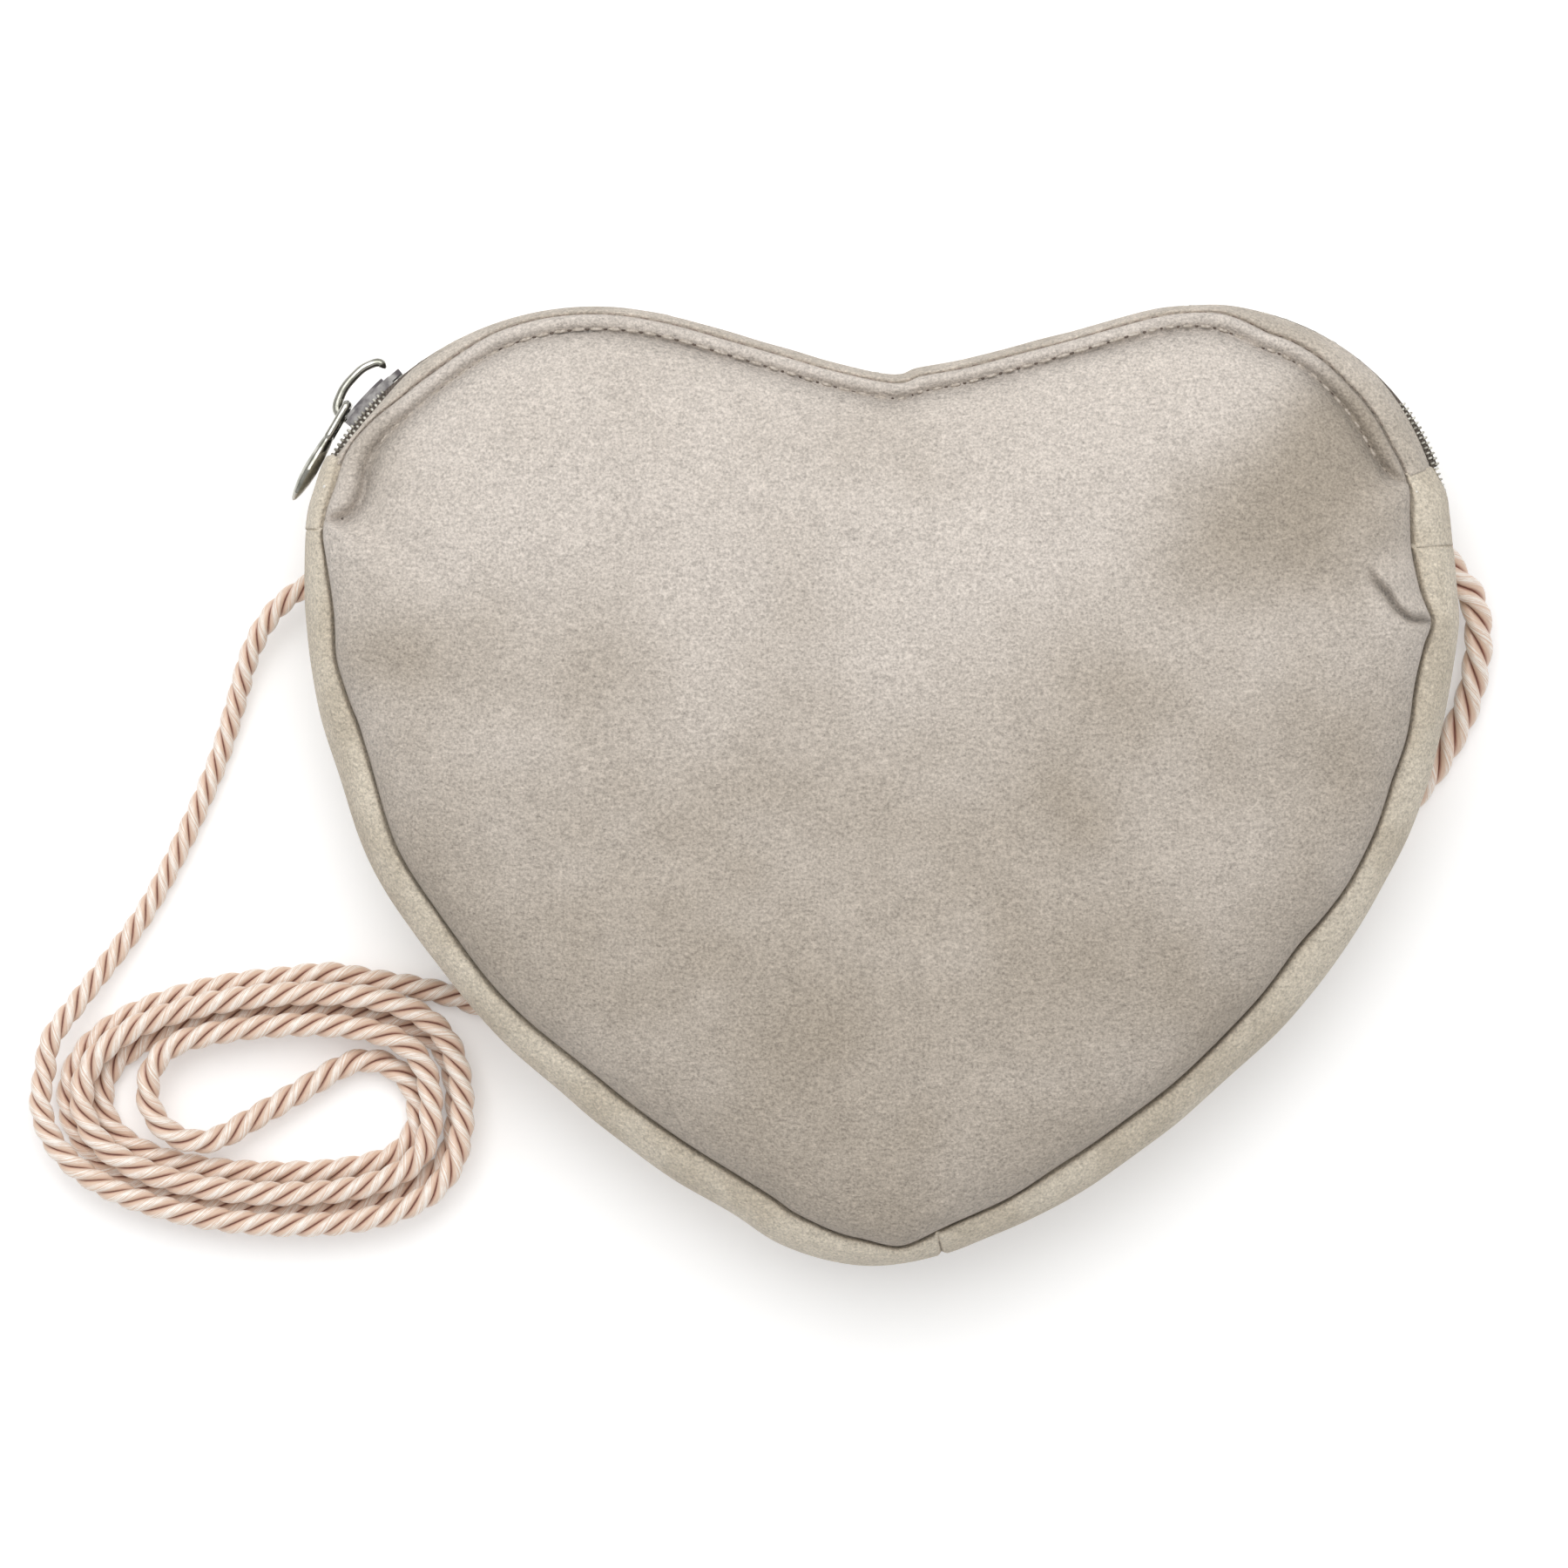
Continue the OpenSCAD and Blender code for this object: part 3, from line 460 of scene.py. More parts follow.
# %% [markdown]
# ## The front panel
# One heart of suede, sewn all round and rounded up by what is inside. A dome whose height follows the
# distance to the nearest seam gets a sharp ridge where two sides are as near as each other. A sum over the
# whole seam that gives its near parts the most weight is as good beside the seam, and has no ridge.

# %% The panel's grid, from the seam to the middle
panel_mid = np.array([0, 3.7]) * MM
first_runs = [0, 0.25, 0.5, 0.9, 1.3, 1.7, 2.1, 2.5, 2.8, 3.1, 3.4, 3.8, 4.2]
near_runs = np.append(first_runs, np.arange(4.7, 14, 0.5)) * MM
far_shares = np.linspace(0, 0.97, 46)[1:, None]


def steps_of(line):
    return np.linalg.norm(np.roll(line, -1, axis=0) - line, axis=1)


def panel_grid(seam):
    """Level places on straight lines from a seam to the middle, and how far along them each is."""
    ways = panel_mid - seam
    lengths = np.linalg.norm(ways, axis=1)
    near = np.repeat(near_runs[:, None], len(seam), 1)
    runs = np.vstack([near, near_runs[-1] + (lengths - near_runs[-1]) * far_shares])
    return seam + runs[..., None] * ways / lengths[:, None], runs


front_seam = place(rim_u, front_inset(rim_u), 0)[:, :2]
back_seam = place(rim_u, back_inset(rim_u), 0)[:, :2]
front_flat, front_runs = panel_grid(front_seam)
back_flat, back_runs = panel_grid(back_seam)
seam_run = np.cumsum(steps_of(front_seam))
grid_u = np.broadcast_to(rim_u, front_runs.shape)
grid_run = np.broadcast_to(seam_run, front_runs.shape)
print("each panel's grid:", front_runs.shape)


# %% A smooth distance from the seam
def seam_distance(flat, seam):
    """A distance that blends all of a seam's parts, the near ones most."""
    steps = steps_of(seam)
    rows = []
    for row in flat:
        square = ((row[:, None] - seam) ** 2).sum(-1)
        square = np.maximum(square, (0.4 * MM) ** 2)
        rows.append((4 / 3 / (steps / square ** 2.5).sum(1)) ** 0.25)
    return np.array(rows)


def depth_of(flat, runs, seam, u):
    """The plain distance beside the seam, and the smooth one further in."""
    slant = -np.sum(unit(panel_mid - flat) * outward(u), axis=-1)
    near = ease((3 * MM - runs) / (2 * MM))
    return near * runs * slant + (1 - near) * seam_distance(flat, seam)


front_depth = depth_of(front_flat, front_runs, front_seam, rim_u)
back_depth = depth_of(back_flat, back_runs, back_seam, rim_u)
print("the middle is", round(front_depth[-1].mean() / MM), "mm from the seam")

# %% [markdown]
# Along the zip a row of topstitching holds the panel's edge down, so the edge stands up as a narrow roll with
# a groove beside it. The roll widens at the left end of the zip, and its groove deepens round it to the seam.

# %% The roll, the dome and their folds
roll_table = np.array([
    [0, 3.3], [8, 3.3], [10.7, 3.9], [12, 4.6], [13, 6.6], [13.5, 6.2], [14, 3.5], [14.5, 0],
    [65.5, 0], [66, 2.2], [66.6, 3.4], [68, 3.8], [72, 3.3], [86, 3], [92, 3], [98, 3.3],
])
roll_share, roll_full, roll_reach = 0.4, 2.5 * MM, 22 * MM
dome_l, sewn_reach, crease_w = 44 * MM, 30 * MM, 0.45 * MM
wave_high, wave_l, ripple_high, ripple_l = 0.8 * MM, 42 * MM, 0.35 * MM, 23 * MM
pucker_high, pucker_l, pucker_reach = 0.45 * MM, 6.5 * MM, 5 * MM
fold_deep, fold_lip, fold_reach = 2.9 * MM, 1.7 * MM, 7 * MM
groove_table = np.array([
    [0, 0.8], [9.5, 0.8], [11, 1.2], [12, 1.5], [14, 1.6], [14.6, 0.8],
    [65.4, 0.5], [66.5, 1.3], [68.5, 0.9], [98, 0.8],
])
crease_table = np.array([[0, 1], [12, 1.1], [14, 1.2], [16, 1.7], [59, 1.9], [64, 1.3], [67, 1.1], [98, 1]])
fold_right = np.array([
    [91.9, 42.2], [93.4, 39.2], [96.2, 36.1], [97.9, 33.5], [100.3, 31.7], [104.4, 31.4],
]) * MM


def crease_deep(u):
    """How deep the seam's crease is: shallow beside the zip and deep where the band is puffed."""
    return np.interp(np.asarray(u) % whole_rim, *crease_table.T) * MM


def roll_width(u, depth=0):
    """The roll's width, which spreads out along the rim the deeper it is looked at."""
    spread = 0.9 * np.asarray(depth) / place_l
    shifts = np.linspace(-2, 2, 9)
    near = [np.interp((np.asarray(u) + o * spread) % whole_rim, *roll_table.T) for o in shifts]
    weights = hill(shifts, 1)
    return sum(w * n for w, n in zip(weights, near)) / weights.sum() * MM


def beside(flat, points):
    """Signed distance from a drawn line, and the share of the line at its nearest place."""
    best = np.full(flat.shape[:-1], 1.0)
    side, share = np.zeros_like(best), np.zeros_like(best)
    for k, (a, b) in enumerate(zip(points[:-1], points[1:])):
        t = np.clip(((flat - a) @ (b - a)) / ((b - a) @ (b - a)), 0, 1)
        gap = flat - (a + t[..., None] * (b - a))
        d = np.linalg.norm(gap, axis=-1)
        sign = np.sign((b - a)[0] * gap[..., 1] - (b - a)[1] * gap[..., 0])
        near = d < best
        best, side = np.where(near, d, best), np.where(near, sign, side)
        share = np.where(near, (k + t) / (len(points) - 1), share)
    return best * side, share


def fold_strength(share):
    """How strong a fold is along its line: it starts faint and comes up to full."""
    return ease(share * 2.2 + 0.1)


def fold_height(flat):
    """A crease along the drawn fold, with the cloth on its left side pushed up over it."""
    d, share = beside(flat, fold_right)
    crease = -fold_deep * hill(d + 0.3 * MM, 0.8 * MM)
    lip = fold_lip * ease(d / (1.2 * MM) + 0.5) * hill(np.maximum(d, 0), fold_reach)
    return fold_strength(share) * (crease + lip)


def front_height(flat, depth, u, run):
    """The panel's height over its seam."""
    x, y = flat[..., 0], flat[..., 1]
    width = roll_width(u, depth)
    sewn = np.clip(width / roll_full, 0, 1) * hill(depth, sewn_reach)
    width = width * hill(depth, roll_reach)
    share = np.clip((depth - width) / dome_l, 0, 1)
    steep = np.sqrt(1 - (1 - share) ** 3)
    gentle = (1 - (1 - share) ** 2.6) ** 0.72
    dome = crown_rise * (steep + (gentle - steep) * sewn)
    across = np.clip(depth / np.maximum(width, 0.1 * MM), 0, 1)
    roll = roll_share * width * np.sqrt(np.clip(1 - (2 * across - 1) ** 2, 0, 1))
    deep = np.interp(u % whole_rim, *groove_table.T) * MM
    groove = -deep * np.clip(width / (3 * MM), 0, 1) * hill(depth - width, 0.4 * MM + 0.7 * deep)
    crease = -crease_deep(u) * hill(depth, crease_w)
    soft = ease(depth / (16 * MM))
    waves = wave_high * soft_noise(x, y, wave_l, 3) + ripple_high * soft_noise(x, y, ripple_l, 5)
    puckers = pucker_high * soft_noise(run, depth * 0.6, pucker_l, 8) * np.exp(-depth / pucker_reach)
    inner = ease(depth / (1 * MM)) * (puckers + fold_height(flat))
    return dome + roll + groove + crease + waves * soft + inner


front_rise = front_height(front_flat, front_depth, grid_u, grid_run)
print("the crown stands", round(front_rise.max() / MM, 1), "mm over the seam")

# %% [markdown]
# The drawn form is where the panel lies, but cloth under air also creases and gives between its seams. A
# coarse copy of the panel is held round its edge and filled by Blender's cloth solver for a moment. How far
# that moves it, without the plain swelling that the drawn form already has, is added to the fine panel.

# %% A moment of cloth simulation
cloth_mass, air_pressure, air_frames = 0.05, 4, 20
held_rows, give_cap = 3, 6 * MM


def panel_mesh(grid, mid_z):
    """The points and faces of a panel: its rings of points, and a fan from the last one to its middle."""
    rows, cols = grid.shape[:2]
    last = (rows - 1) * cols
    fan = [(last + k, last + (k + 1) % cols, rows * cols) for k in range(cols)]
    return np.vstack([grid.reshape(-1, 3), [[*panel_mid, mid_z]]]), grid_faces(rows, cols, True) + fan


def filled_by_air(flat, z):
    """How far up a coarse copy of a panel moves when air fills it, up to a cap."""
    rows, cols = z.shape
    points, faces = panel_mesh(raised(flat, z), z[-1].mean())
    piece = bare_piece("air_test", points, faces)
    piece.vertex_groups.new(name="held").add(list(range(held_rows * cols)), 1.0, "REPLACE")
    cloth = piece.modifiers.new("cloth", "CLOTH")
    cloth.settings.vertex_group_mass = "held"
    cloth.settings.mass = cloth_mass
    cloth.settings.use_pressure = True
    cloth.settings.uniform_pressure_force = air_pressure
    cloth.settings.effector_weights.gravity = 0
    cloth.point_cache.frame_end = air_frames
    for now in range(1, air_frames + 1):
        bpy.context.scene.frame_set(now)
    filled = piece.evaluated_get(bpy.context.evaluated_depsgraph_get())
    places = np.empty(len(points) * 3)
    filled.data.vertices.foreach_get("co", places)
    bpy.data.objects.remove(piece)
    bpy.context.scene.frame_set(1)
    moved = (places.reshape(-1, 3) - points)[:rows * cols, 2]
    return np.clip(moved, -give_cap, give_cap).reshape(rows, cols)


# %% Carry the give over to the fine panel
def spread_out(values, passes):
    """Evens out a grid of values with its neighbours, round the ring and from edge to middle."""
    for _ in range(passes):
        values = (np.roll(values, 1, 1) + 2 * values + np.roll(values, -1, 1)) / 4
        values = np.vstack([values[:1], (values[:-2] + 2 * values[1:-1] + values[2:]) / 4, values[-1:]])
    return values


def carried_over(coarse, first, row_step, col_step, rows, cols):
    """Values of a coarse grid at all places of the fine grid that it was picked from."""
    kept = np.arange(0, cols, col_step)
    ring = np.stack([np.interp(np.arange(cols), kept, row, period=cols) for row in coarse])
    picked = first + row_step * np.arange(len(coarse))
    return np.stack([np.interp(np.arange(rows), picked, column) for column in ring.T]).T


row_from, row_step, col_step = 4, 3, 4
swell_passes, calm_passes, give_share = 14, 6, 0.8
coarse = np.s_[row_from::row_step, ::col_step]
up = filled_by_air(front_flat[coarse], (front_seam_z + front_rise)[coarse])
give = up - spread_out(up, swell_passes)
give = carried_over(give, row_from, row_step, col_step, *front_rise.shape)
front_rise += give_share * spread_out(give, calm_passes)
print("the cloth gives up to", round(np.abs(give).max() / MM, 2), "mm")

# %% [markdown]
# The panel's edge turns down into the seam and the band's edge does the same beside it. The dark line
# between them is then a real crease, which shades itself from any side.


# %% The front panel's skin
suede_t, lining_t, facing_t = 0.9 * MM, 0.5 * MM, 0.5 * MM
panel_turn, band_turn, seam_drop = 0.8 * MM, 0.9 * MM, 1.6 * MM


def shifted(row, us, inset, up):
    """A copy of a row of points, drawn in from the rim and raised."""
    row = row.copy()
    row[:, :2] -= inset * outward(us)
    row[:, 2] += up
    return row


def skin(name, grid, mid_z, slot, thick, up):
    """A panel from its edge rows to a fan round its middle, with a thickness to the inside."""
    points, faces = panel_mesh(grid, mid_z)
    if up < 0:
        faces = [tuple(reversed(f)) for f in faces]
    return thicken(mesh_piece(name, points, faces, slot=slot), thick)


front_grid = raised(front_flat, front_seam_z + front_rise)
front_grid = np.concatenate([shifted(front_grid[0], rim_u, panel_turn, -seam_drop)[None], front_grid])
front = skin("front_suede", front_grid, front_grid[-1, :, 2].mean(), "suede", suede_t, 1)
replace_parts(front, "front_panel")
print("points in the front panel:", len(front.data.vertices))

# %% [markdown]
# ## The back panel
# The same heart lies on the table. It is flat where it rests and curls up to its seam all round, so its
# height only has to follow the distance from the seam over the first bit.

# %% The back panel's skin
curl_l = 24 * MM
curl = np.clip(back_depth / curl_l, 0, 1)
back_z = back_seam_z * (1 - curl) ** 2 + crease_deep(rim_u) * hill(back_depth, crease_w)
back_z += 0.3 * MM * (1 - ease(curl)) * soft_noise(grid_run, back_depth, 8 * MM, 12)
back_grid = raised(back_flat, np.maximum(back_z, 0))
back_grid = np.concatenate([shifted(back_grid[0], rim_u, panel_turn, seam_drop)[None], back_grid])
back = skin("back_suede", back_grid, 0, "suede", suede_t, -1)
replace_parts(back, "back_panel")
print("the back panel rests flat inside", round(curl_l / MM), "mm of its seam")

# %% [markdown]
# ## The band between the panels
# The band is a strip whose edges turn into the two seams. Seen across, it bulges like half an ellipse, from
# seam to seam. It is cut in two lengths that are sewn together beside the tip.

# %% Strips round the rim
layer_gap = 0.3 * MM
band_mid_z = (back_seam_z + front_seam_z) / 2
band_half_h = (front_seam_z - back_seam_z) / 2 - layer_gap


def strip_rows(us, angles, proud):
    """Rows across the bag's side: 90 degrees is at the front seam and 0 at the rim."""
    a = np.radians(angles)[:, None]
    bend = (1 - np.cos(a)) ** 1.15
    seam = np.where(a > 0, front_inset(us), back_inset(us))
    crease = crease_deep(us) * hill(seam * (1 - bend), crease_w) * np.sign(a)
    return place(us[None, :], seam * bend - proud, band_mid_z + band_half_h * np.sin(a) - crease)


def turned_edges(grid, us):
    """Adds a row at each seam that goes on into the bag."""
    first = shifted(grid[0], us, band_turn, seam_drop)
    last = shifted(grid[-1], us, band_turn, -seam_drop)
    return np.concatenate([first[None], grid, last[None]])


def strip_us(start, stop, step=0.12):
    return np.linspace(start, stop, int(round((stop - start) / step)) + 1)


def sunk_ends(us, start, stop, deep, reach):
    """How far a strip sinks where it is sewn to the next one at its two ends."""
    return deep * (hill(us - start, reach) + hill(us - stop, reach))


def settle(a):
    """Lets a strip's own unevenness die away at its two seams."""
    return 1 - (np.abs(a) / 90) ** 12


# %% The two lengths of the band
band_angles = np.concatenate([[-90, -88.8, -87.4, -85.5], np.linspace(-83, 83, 25), [85.5, 87.4, 88.8, 90]])


def rim_run(us):
    """The length along the rim at places u."""
    return np.interp(us, rim_u, seam_run, period=whole_rim)


def dents(us, a, high, rise, size, seed):
    """Dents on a strip, in mm: how high, how far up the strip one degree counts, and how big across."""
    return high * MM * soft_noise(rim_run(us)[None, :], a * rise * MM, size * MM, seed)


def band_piece(name, start, stop):
    us = strip_us(start, stop)
    a = band_angles[:, None]
    puckers = dents(us, a, 0.35, 0.02, 4.5, 22) * (np.abs(a) / 90) ** 6
    sunk = sunk_ends(us, start, stop, 0.7 * MM, 0.12)[None, :]
    proud = (dents(us, a, 0.3, 0.3, 11, 21) + puckers) * settle(a) - sunk
    grid = strip_rows(us, band_angles, proud)
    return thicken(grid_piece(name, turned_edges(grid, us), slot="band_suede"), suede_t)


left_band = band_piece("band_left", tab_left_to, band_joint)
right_band = band_piece("band_right", band_joint, tab_right_from)
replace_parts(left_band, "gusset_left")
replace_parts(right_band, "gusset_right")
print("points in the band:", len(left_band.data.vertices) + len(right_band.data.vertices))

# %% [markdown]
# ## The end tabs
# A short piece of suede covers each end of the zip. It lies over the ends of the band and the facings, so it
# stands a little proud and its folded ends curl down.

# %% The tabs
def tab_piece(name, start, stop, over, drawn_in):
    us = strip_us(start - over[0], stop + over[1], 0.06)
    a = band_angles[:, None]
    by_zip, by_band = (us - us[0], us[-1] - us) if over[0] > over[1] else (us[-1] - us, us - us[0])
    lift = 0.75 * MM * ease(by_zip / 0.16) * (0.62 + 0.38 * ease(by_band / 1.4)) - 0.35 * MM
    lift -= drawn_in * ease(1 - by_zip / 1.6)
    grid = strip_rows(us, band_angles, (lift[None, :] + dents(us, a, 0.2, 0.3, 5, 31)) * settle(a))
    return thicken(grid_piece(name, turned_edges(grid, us), slot="band_suede"), suede_t)


left_tab = tab_piece("tab_left", tab_left_from, tab_left_to, (0.2, 0.1), -0.8 * MM)
right_tab = tab_piece("tab_right", tab_right_from, tab_right_to, (0.1, 0.2), 1 * MM)
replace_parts(left_tab, "end_tab_left")
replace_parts(right_tab, "end_tab_right")
print("points in the tabs:", len(left_tab.data.vertices) + len(right_tab.data.vertices))

# %% [markdown]
# ## The zip's facings
# A facing runs from each long seam to the zip, where its edge is folded under. At both ends of the zip the
# facings draw back a little, so the chain looks out past them.

# %% The facings
facing_us = strip_us(zip_from + 0.02, zip_to - 0.02)
facing_table = np.array([
    [0, 0.3], [8.5, 0.2], [9.6, -0.6], [10.3, -1], [11, -1], [12.5, -0.1],
    [65.6, -1], [66.6, -0.8], [68.2, -0.3], [70, 0.3], [98, 0.3],
])
facing_angles = np.append(np.linspace(25, 84, 13), [86, 87.5, 88.8, 90])
fold_in, fold_drop, hem_in, hem_up = 0.6 * MM, 0.25 * MM, 1.2 * MM, 0.4 * MM


def facing_piece(name, up, seed):
    proud = np.interp(facing_us % whole_rim, *facing_table.T)[None, :] * MM
    a = facing_angles[:, None]
    far = (90 - a) / 65
    sewn = -0.3 * MM * hill((a - 43) / 6, 1)
    proud = proud * far + dents(facing_us, a, 0.15, 0.2, 7, seed) + sewn
    grid = strip_rows(facing_us, up * facing_angles, proud)
    fold = shifted(grid[0], facing_us, fold_in, -up * fold_drop)
    under = shifted(grid[0], facing_us, hem_in, up * hem_up)
    seam = shifted(grid[-1], facing_us, band_turn, -up * seam_drop)
    grid = np.concatenate([under[None], fold[None], grid, seam[None]])
    slot = "suede" if up > 0 else "band_suede"
    return thicken(grid_piece(name, grid if up > 0 else grid[::-1], slot=slot), facing_t)


front_facing = facing_piece("facing_front", 1, 41)
back_facing = facing_piece("facing_back", -1, 42)
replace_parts(front_facing, "zip_facing_front")
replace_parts(back_facing, "zip_facing_back")
facing_l = (rim_run(facing_us[-1]) - rim_run(facing_us[0])) % seam_run[-1]
print("the facings run over", round(facing_l / MM), "mm")

# %% [markdown]
# ## The zip tapes, the lining and the bindings
# The tapes carry the teeth and go in behind the facings. The lining and the tape that binds each seam are
# inside, and are made as plain offset skins of the outer pieces.

# %% The tapes
chain_z, tape_t = rim_level, 0.6 * MM
tape_rows = np.array([[2.85, 0.2], [4.6, 0.2], [5.4, 2.4], [8.85, 3.2]]) * MM
drawn_back = np.clip(-np.interp(facing_us % whole_rim, *facing_table.T), 0, None) * MM
for name, up, node in (("tape_front", 1, "zip_tape_front"), ("tape_back", -1, "zip_tape_back")):
    grid = np.stack([place(facing_us, inset + (far > 5 * MM) * drawn_back, chain_z + up * far)
                     for far, inset in tape_rows])
    tape = thicken(grid_piece(name, grid if up < 0 else grid[::-1], slot="tape"), tape_t, 0)
    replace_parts(tape, node)
print("the tapes reach", round(tape_rows[-1, 0] / MM, 1), "mm from the chain's middle")

# %% The lining and the bindings
lining_places = np.s_[14::3, ::4]
front_gap, back_gap, binding_in = 4.2 * MM, 2.4 * MM, 2.9 * MM
for name, flat, z, up, node in (
        ("lining_front", front_flat, front_seam_z + front_rise - front_gap, 1, "front_lining"),
        ("lining_back", back_flat, back_z + back_gap, -1, "back_lining")):
    grid = raised(flat[lining_places], z[lining_places])
    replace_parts(skin(name, grid, grid[-1, :, 2].mean(), "lining", lining_t, up), node)
lining_us = strip_us(tab_left_to, tab_right_from, 0.5)
lining_rows = strip_rows(lining_us, np.linspace(-60, 60, 9), -back_gap)
band_lining = grid_piece("lining_band", lining_rows, slot="lining")
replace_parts(thicken(band_lining, lining_t), "gusset_lining")
binding_us = np.linspace(0, whole_rim, 196, endpoint=False)
for name, inset, low, high, node in (
        ("binding_front", front_inset(binding_us), 33.8, 37.2, "front_seam_binding"),
        ("binding_back", back_inset(binding_us), 9.3, 12.7, "back_seam_binding")):
    grid = np.stack([place(binding_us, inset + binding_in, z * MM) for z in (low, high)])
    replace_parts(thicken(grid_piece(name, grid, ring=True, slot="tape"), lining_t), node)
print("inner pieces: 2 panels of lining, 1 band of lining, 2 bindings")

# %% [markdown]
# ## The cord's sewn ends
# Each end of the cord goes into a short collar of suede at the back of the band. A ring of points turned
# about the cord's heading makes it, with its ends rounded in to the cord.

# %% The collars
def collar(name, exit, heading, node):
    along, across, up = way(heading), way(heading + 90), np.array([0, 0, 1])
    profile = np.array([[-6.6, 2.3], [-6.2, 2.75], [-5.4, 2.9], [-4.6, 2.85], [-4.2, 2.6], [-4.3, 2.2]]) * MM
    a = np.linspace(0, 2 * math.pi, 24, endpoint=False)[:, None]
    ring = np.cos(a) * across + np.sin(a) * up
    rings = [exit + d * along + r * ring for d, r in profile]
    piece = grid_piece(name, np.stack(rings), ring=True, slot="band_suede")
    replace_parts(piece, node)


collar("collar_left", left_exit, left_heading, "strap_anchor_left")
collar("collar_right", right_exit, right_heading, "strap_anchor_right")
print("the cord leaves the band at", round(left_exit[2] / MM, 1), "mm above the table")

# %% [markdown]
# ## The bail and the pull
# The zip's bail is a bent wire and its pull a pointed leaf that hangs on edge. In the CAD model they are cut
# from plate. A real casting is rounded all over, so both are swept here through sections that change.

# %% Sweeping a rounded section
def sweep(name, line, tall, thick, body, node=None, sides=20):
    """A closed rounded bar along a level line: half heights and half thicknesses at each of its points."""
    across = np.cross(unit(np.gradient(line, axis=0)), [0, 0, 1])
    a = np.linspace(0, 2 * math.pi, sides, endpoint=False)
    c, s = np.cos(a), np.sin(a)
    round_c, round_s = np.sign(c) * np.abs(c) ** 0.8, np.sign(s) * np.abs(s) ** 0.8
    grid = (line[:, None] + thick[:, None, None] * round_c[None, :, None] * across[:, None]
            + tall[:, None, None] * round_s[None, :, None] * np.array([0, 0, 1]))
    faces = bar_faces(len(line), sides)
    piece = mesh_piece(name, grid.reshape(-1, 3), faces, body=body, slot="nickel")
    if node:
        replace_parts(piece, node)
    return piece


def rounded(shares, tip):
    """Sizes for a bar whose two ends are domed."""
    return np.clip(np.minimum(shares, 1 - shares) / tip, 0.02, 1) ** 0.5


# %% The bail
slider_at, slider_turn = 136, math.degrees(14 * MM / lobe_r)
bail_base_r = lobe_r + 2.5 * MM
bail_shares = np.array([
    [0.44, -0.1], [0.44, 0.5], [0.25, 0.88], [0, 1], [-0.22, 0.92], [-0.37, 0.6], [-0.38, 0.25]])
bail_knots = np.array([
    on_arc(lobe, bail_base_r + up * 4 * MM, slider_at + turn * slider_turn) for turn, up in bail_shares])
bail_line, bail_l = smooth_line(np.column_stack([bail_knots, np.full(len(bail_knots), chain_z)]), 0.25 * MM)
share = np.linspace(0, 1, len(bail_line))
round_end = np.clip((1 - share) / 0.06, 0.05, 1) ** 0.5
wire_tall, wire_thick = 1.1 * MM * round_end, (0.95 - 0.15 * share) * MM * round_end
sweep("bail_hook", bail_line, wire_tall, wire_thick, "slider", "slider_bail")
print("the bail's wire is", round(bail_l / MM, 1), "mm long")

# %% The leaf shaped pull
pull_at, pull_heading = np.array([-100.968, 72.6325, 24]) * MM, 240
pull_l, eye_l, bar_r, rail_z = 21 * MM, 7.2 * MM, 0.8 * MM, 2.65 * MM
leaf_s = np.array([-0.06, 0, 0.12, 0.3, 0.52, 0.72, 0.88, 0.97, 1])
leaf_tall = np.array([2.2, 3.2, 3.3, 3.9, 4.4, 4, 2.6, 1.2, 0.15]) * MM
leaf_thick = np.array([0.5, 0.9, 1.1, 1.3, 1.4, 1.2, 0.8, 0.45, 0.1]) * MM
fine_s = np.linspace(-0.06, 1, 60)
leaf_line = pull_at + (eye_l + fine_s * (pull_l - eye_l))[:, None] * way(pull_heading)
tall, thick = np.interp(fine_s, leaf_s, leaf_tall), np.interp(fine_s, leaf_s, leaf_thick)
sweep("pull_leaf", leaf_line, tall, thick, "pull", "zip_pull")
for name, side in (("pull_rail_upper", 1), ("pull_rail_lower", -1)):
    rail_s = np.linspace(-0.7 * MM, eye_l + 1 * MM, 24)
    rail_line = pull_at + rail_s[:, None] * way(pull_heading) + [0, 0, side * rail_z]
    ends = rounded(np.linspace(0, 1, 24), 0.12)
    sweep(name, rail_line, 0.75 * MM * ends, 0.8 * MM * ends, "pull")
bar_a = np.linspace(0, 2 * math.pi, 16, endpoint=False)
bar_ring = pull_at + bar_r * np.column_stack([np.cos(bar_a), np.sin(bar_a), 0 * bar_a])
bar = np.stack([bar_ring + [0, 0, z * MM] for z in (-2.6, 2.6)])
grid_piece("pull_bar", bar, ring=True, body="pull", slot="nickel")
print("the pull is", round(pull_l / MM), "mm long")

# %% [markdown]
# ## The stitches
# Sewing is what makes the scale read. Each stitch is a short round bead of thread. The panel's row is laid
# along the groove beside the roll, and a small dark bead between each two stitches is painted shade in the
# needle hole.

# %% Rows of stitches
def surface_point(us, inset):
    """A place on the front panel, an inset in from its seam."""
    at = place(us, front_inset(us), 0)[:, :2]
    spot = at + inset[:, None] * unit(panel_mid - at)
    depth = depth_of(spot[None], inset[None], front_seam, us[None])
    z = front_seam_z + front_height(spot[None], depth, us[None], rim_run(us)[None])[0]
    return raised(spot, z)


def even_us(start, stop, pitch):
    """Places at an even pitch along the rim."""
    us = strip_us(start, stop, 0.02)
    run = run_of(rim(us))
    return np.interp(np.arange(0.5 * pitch, run[-1], pitch), run, us)


bead_sides = 8


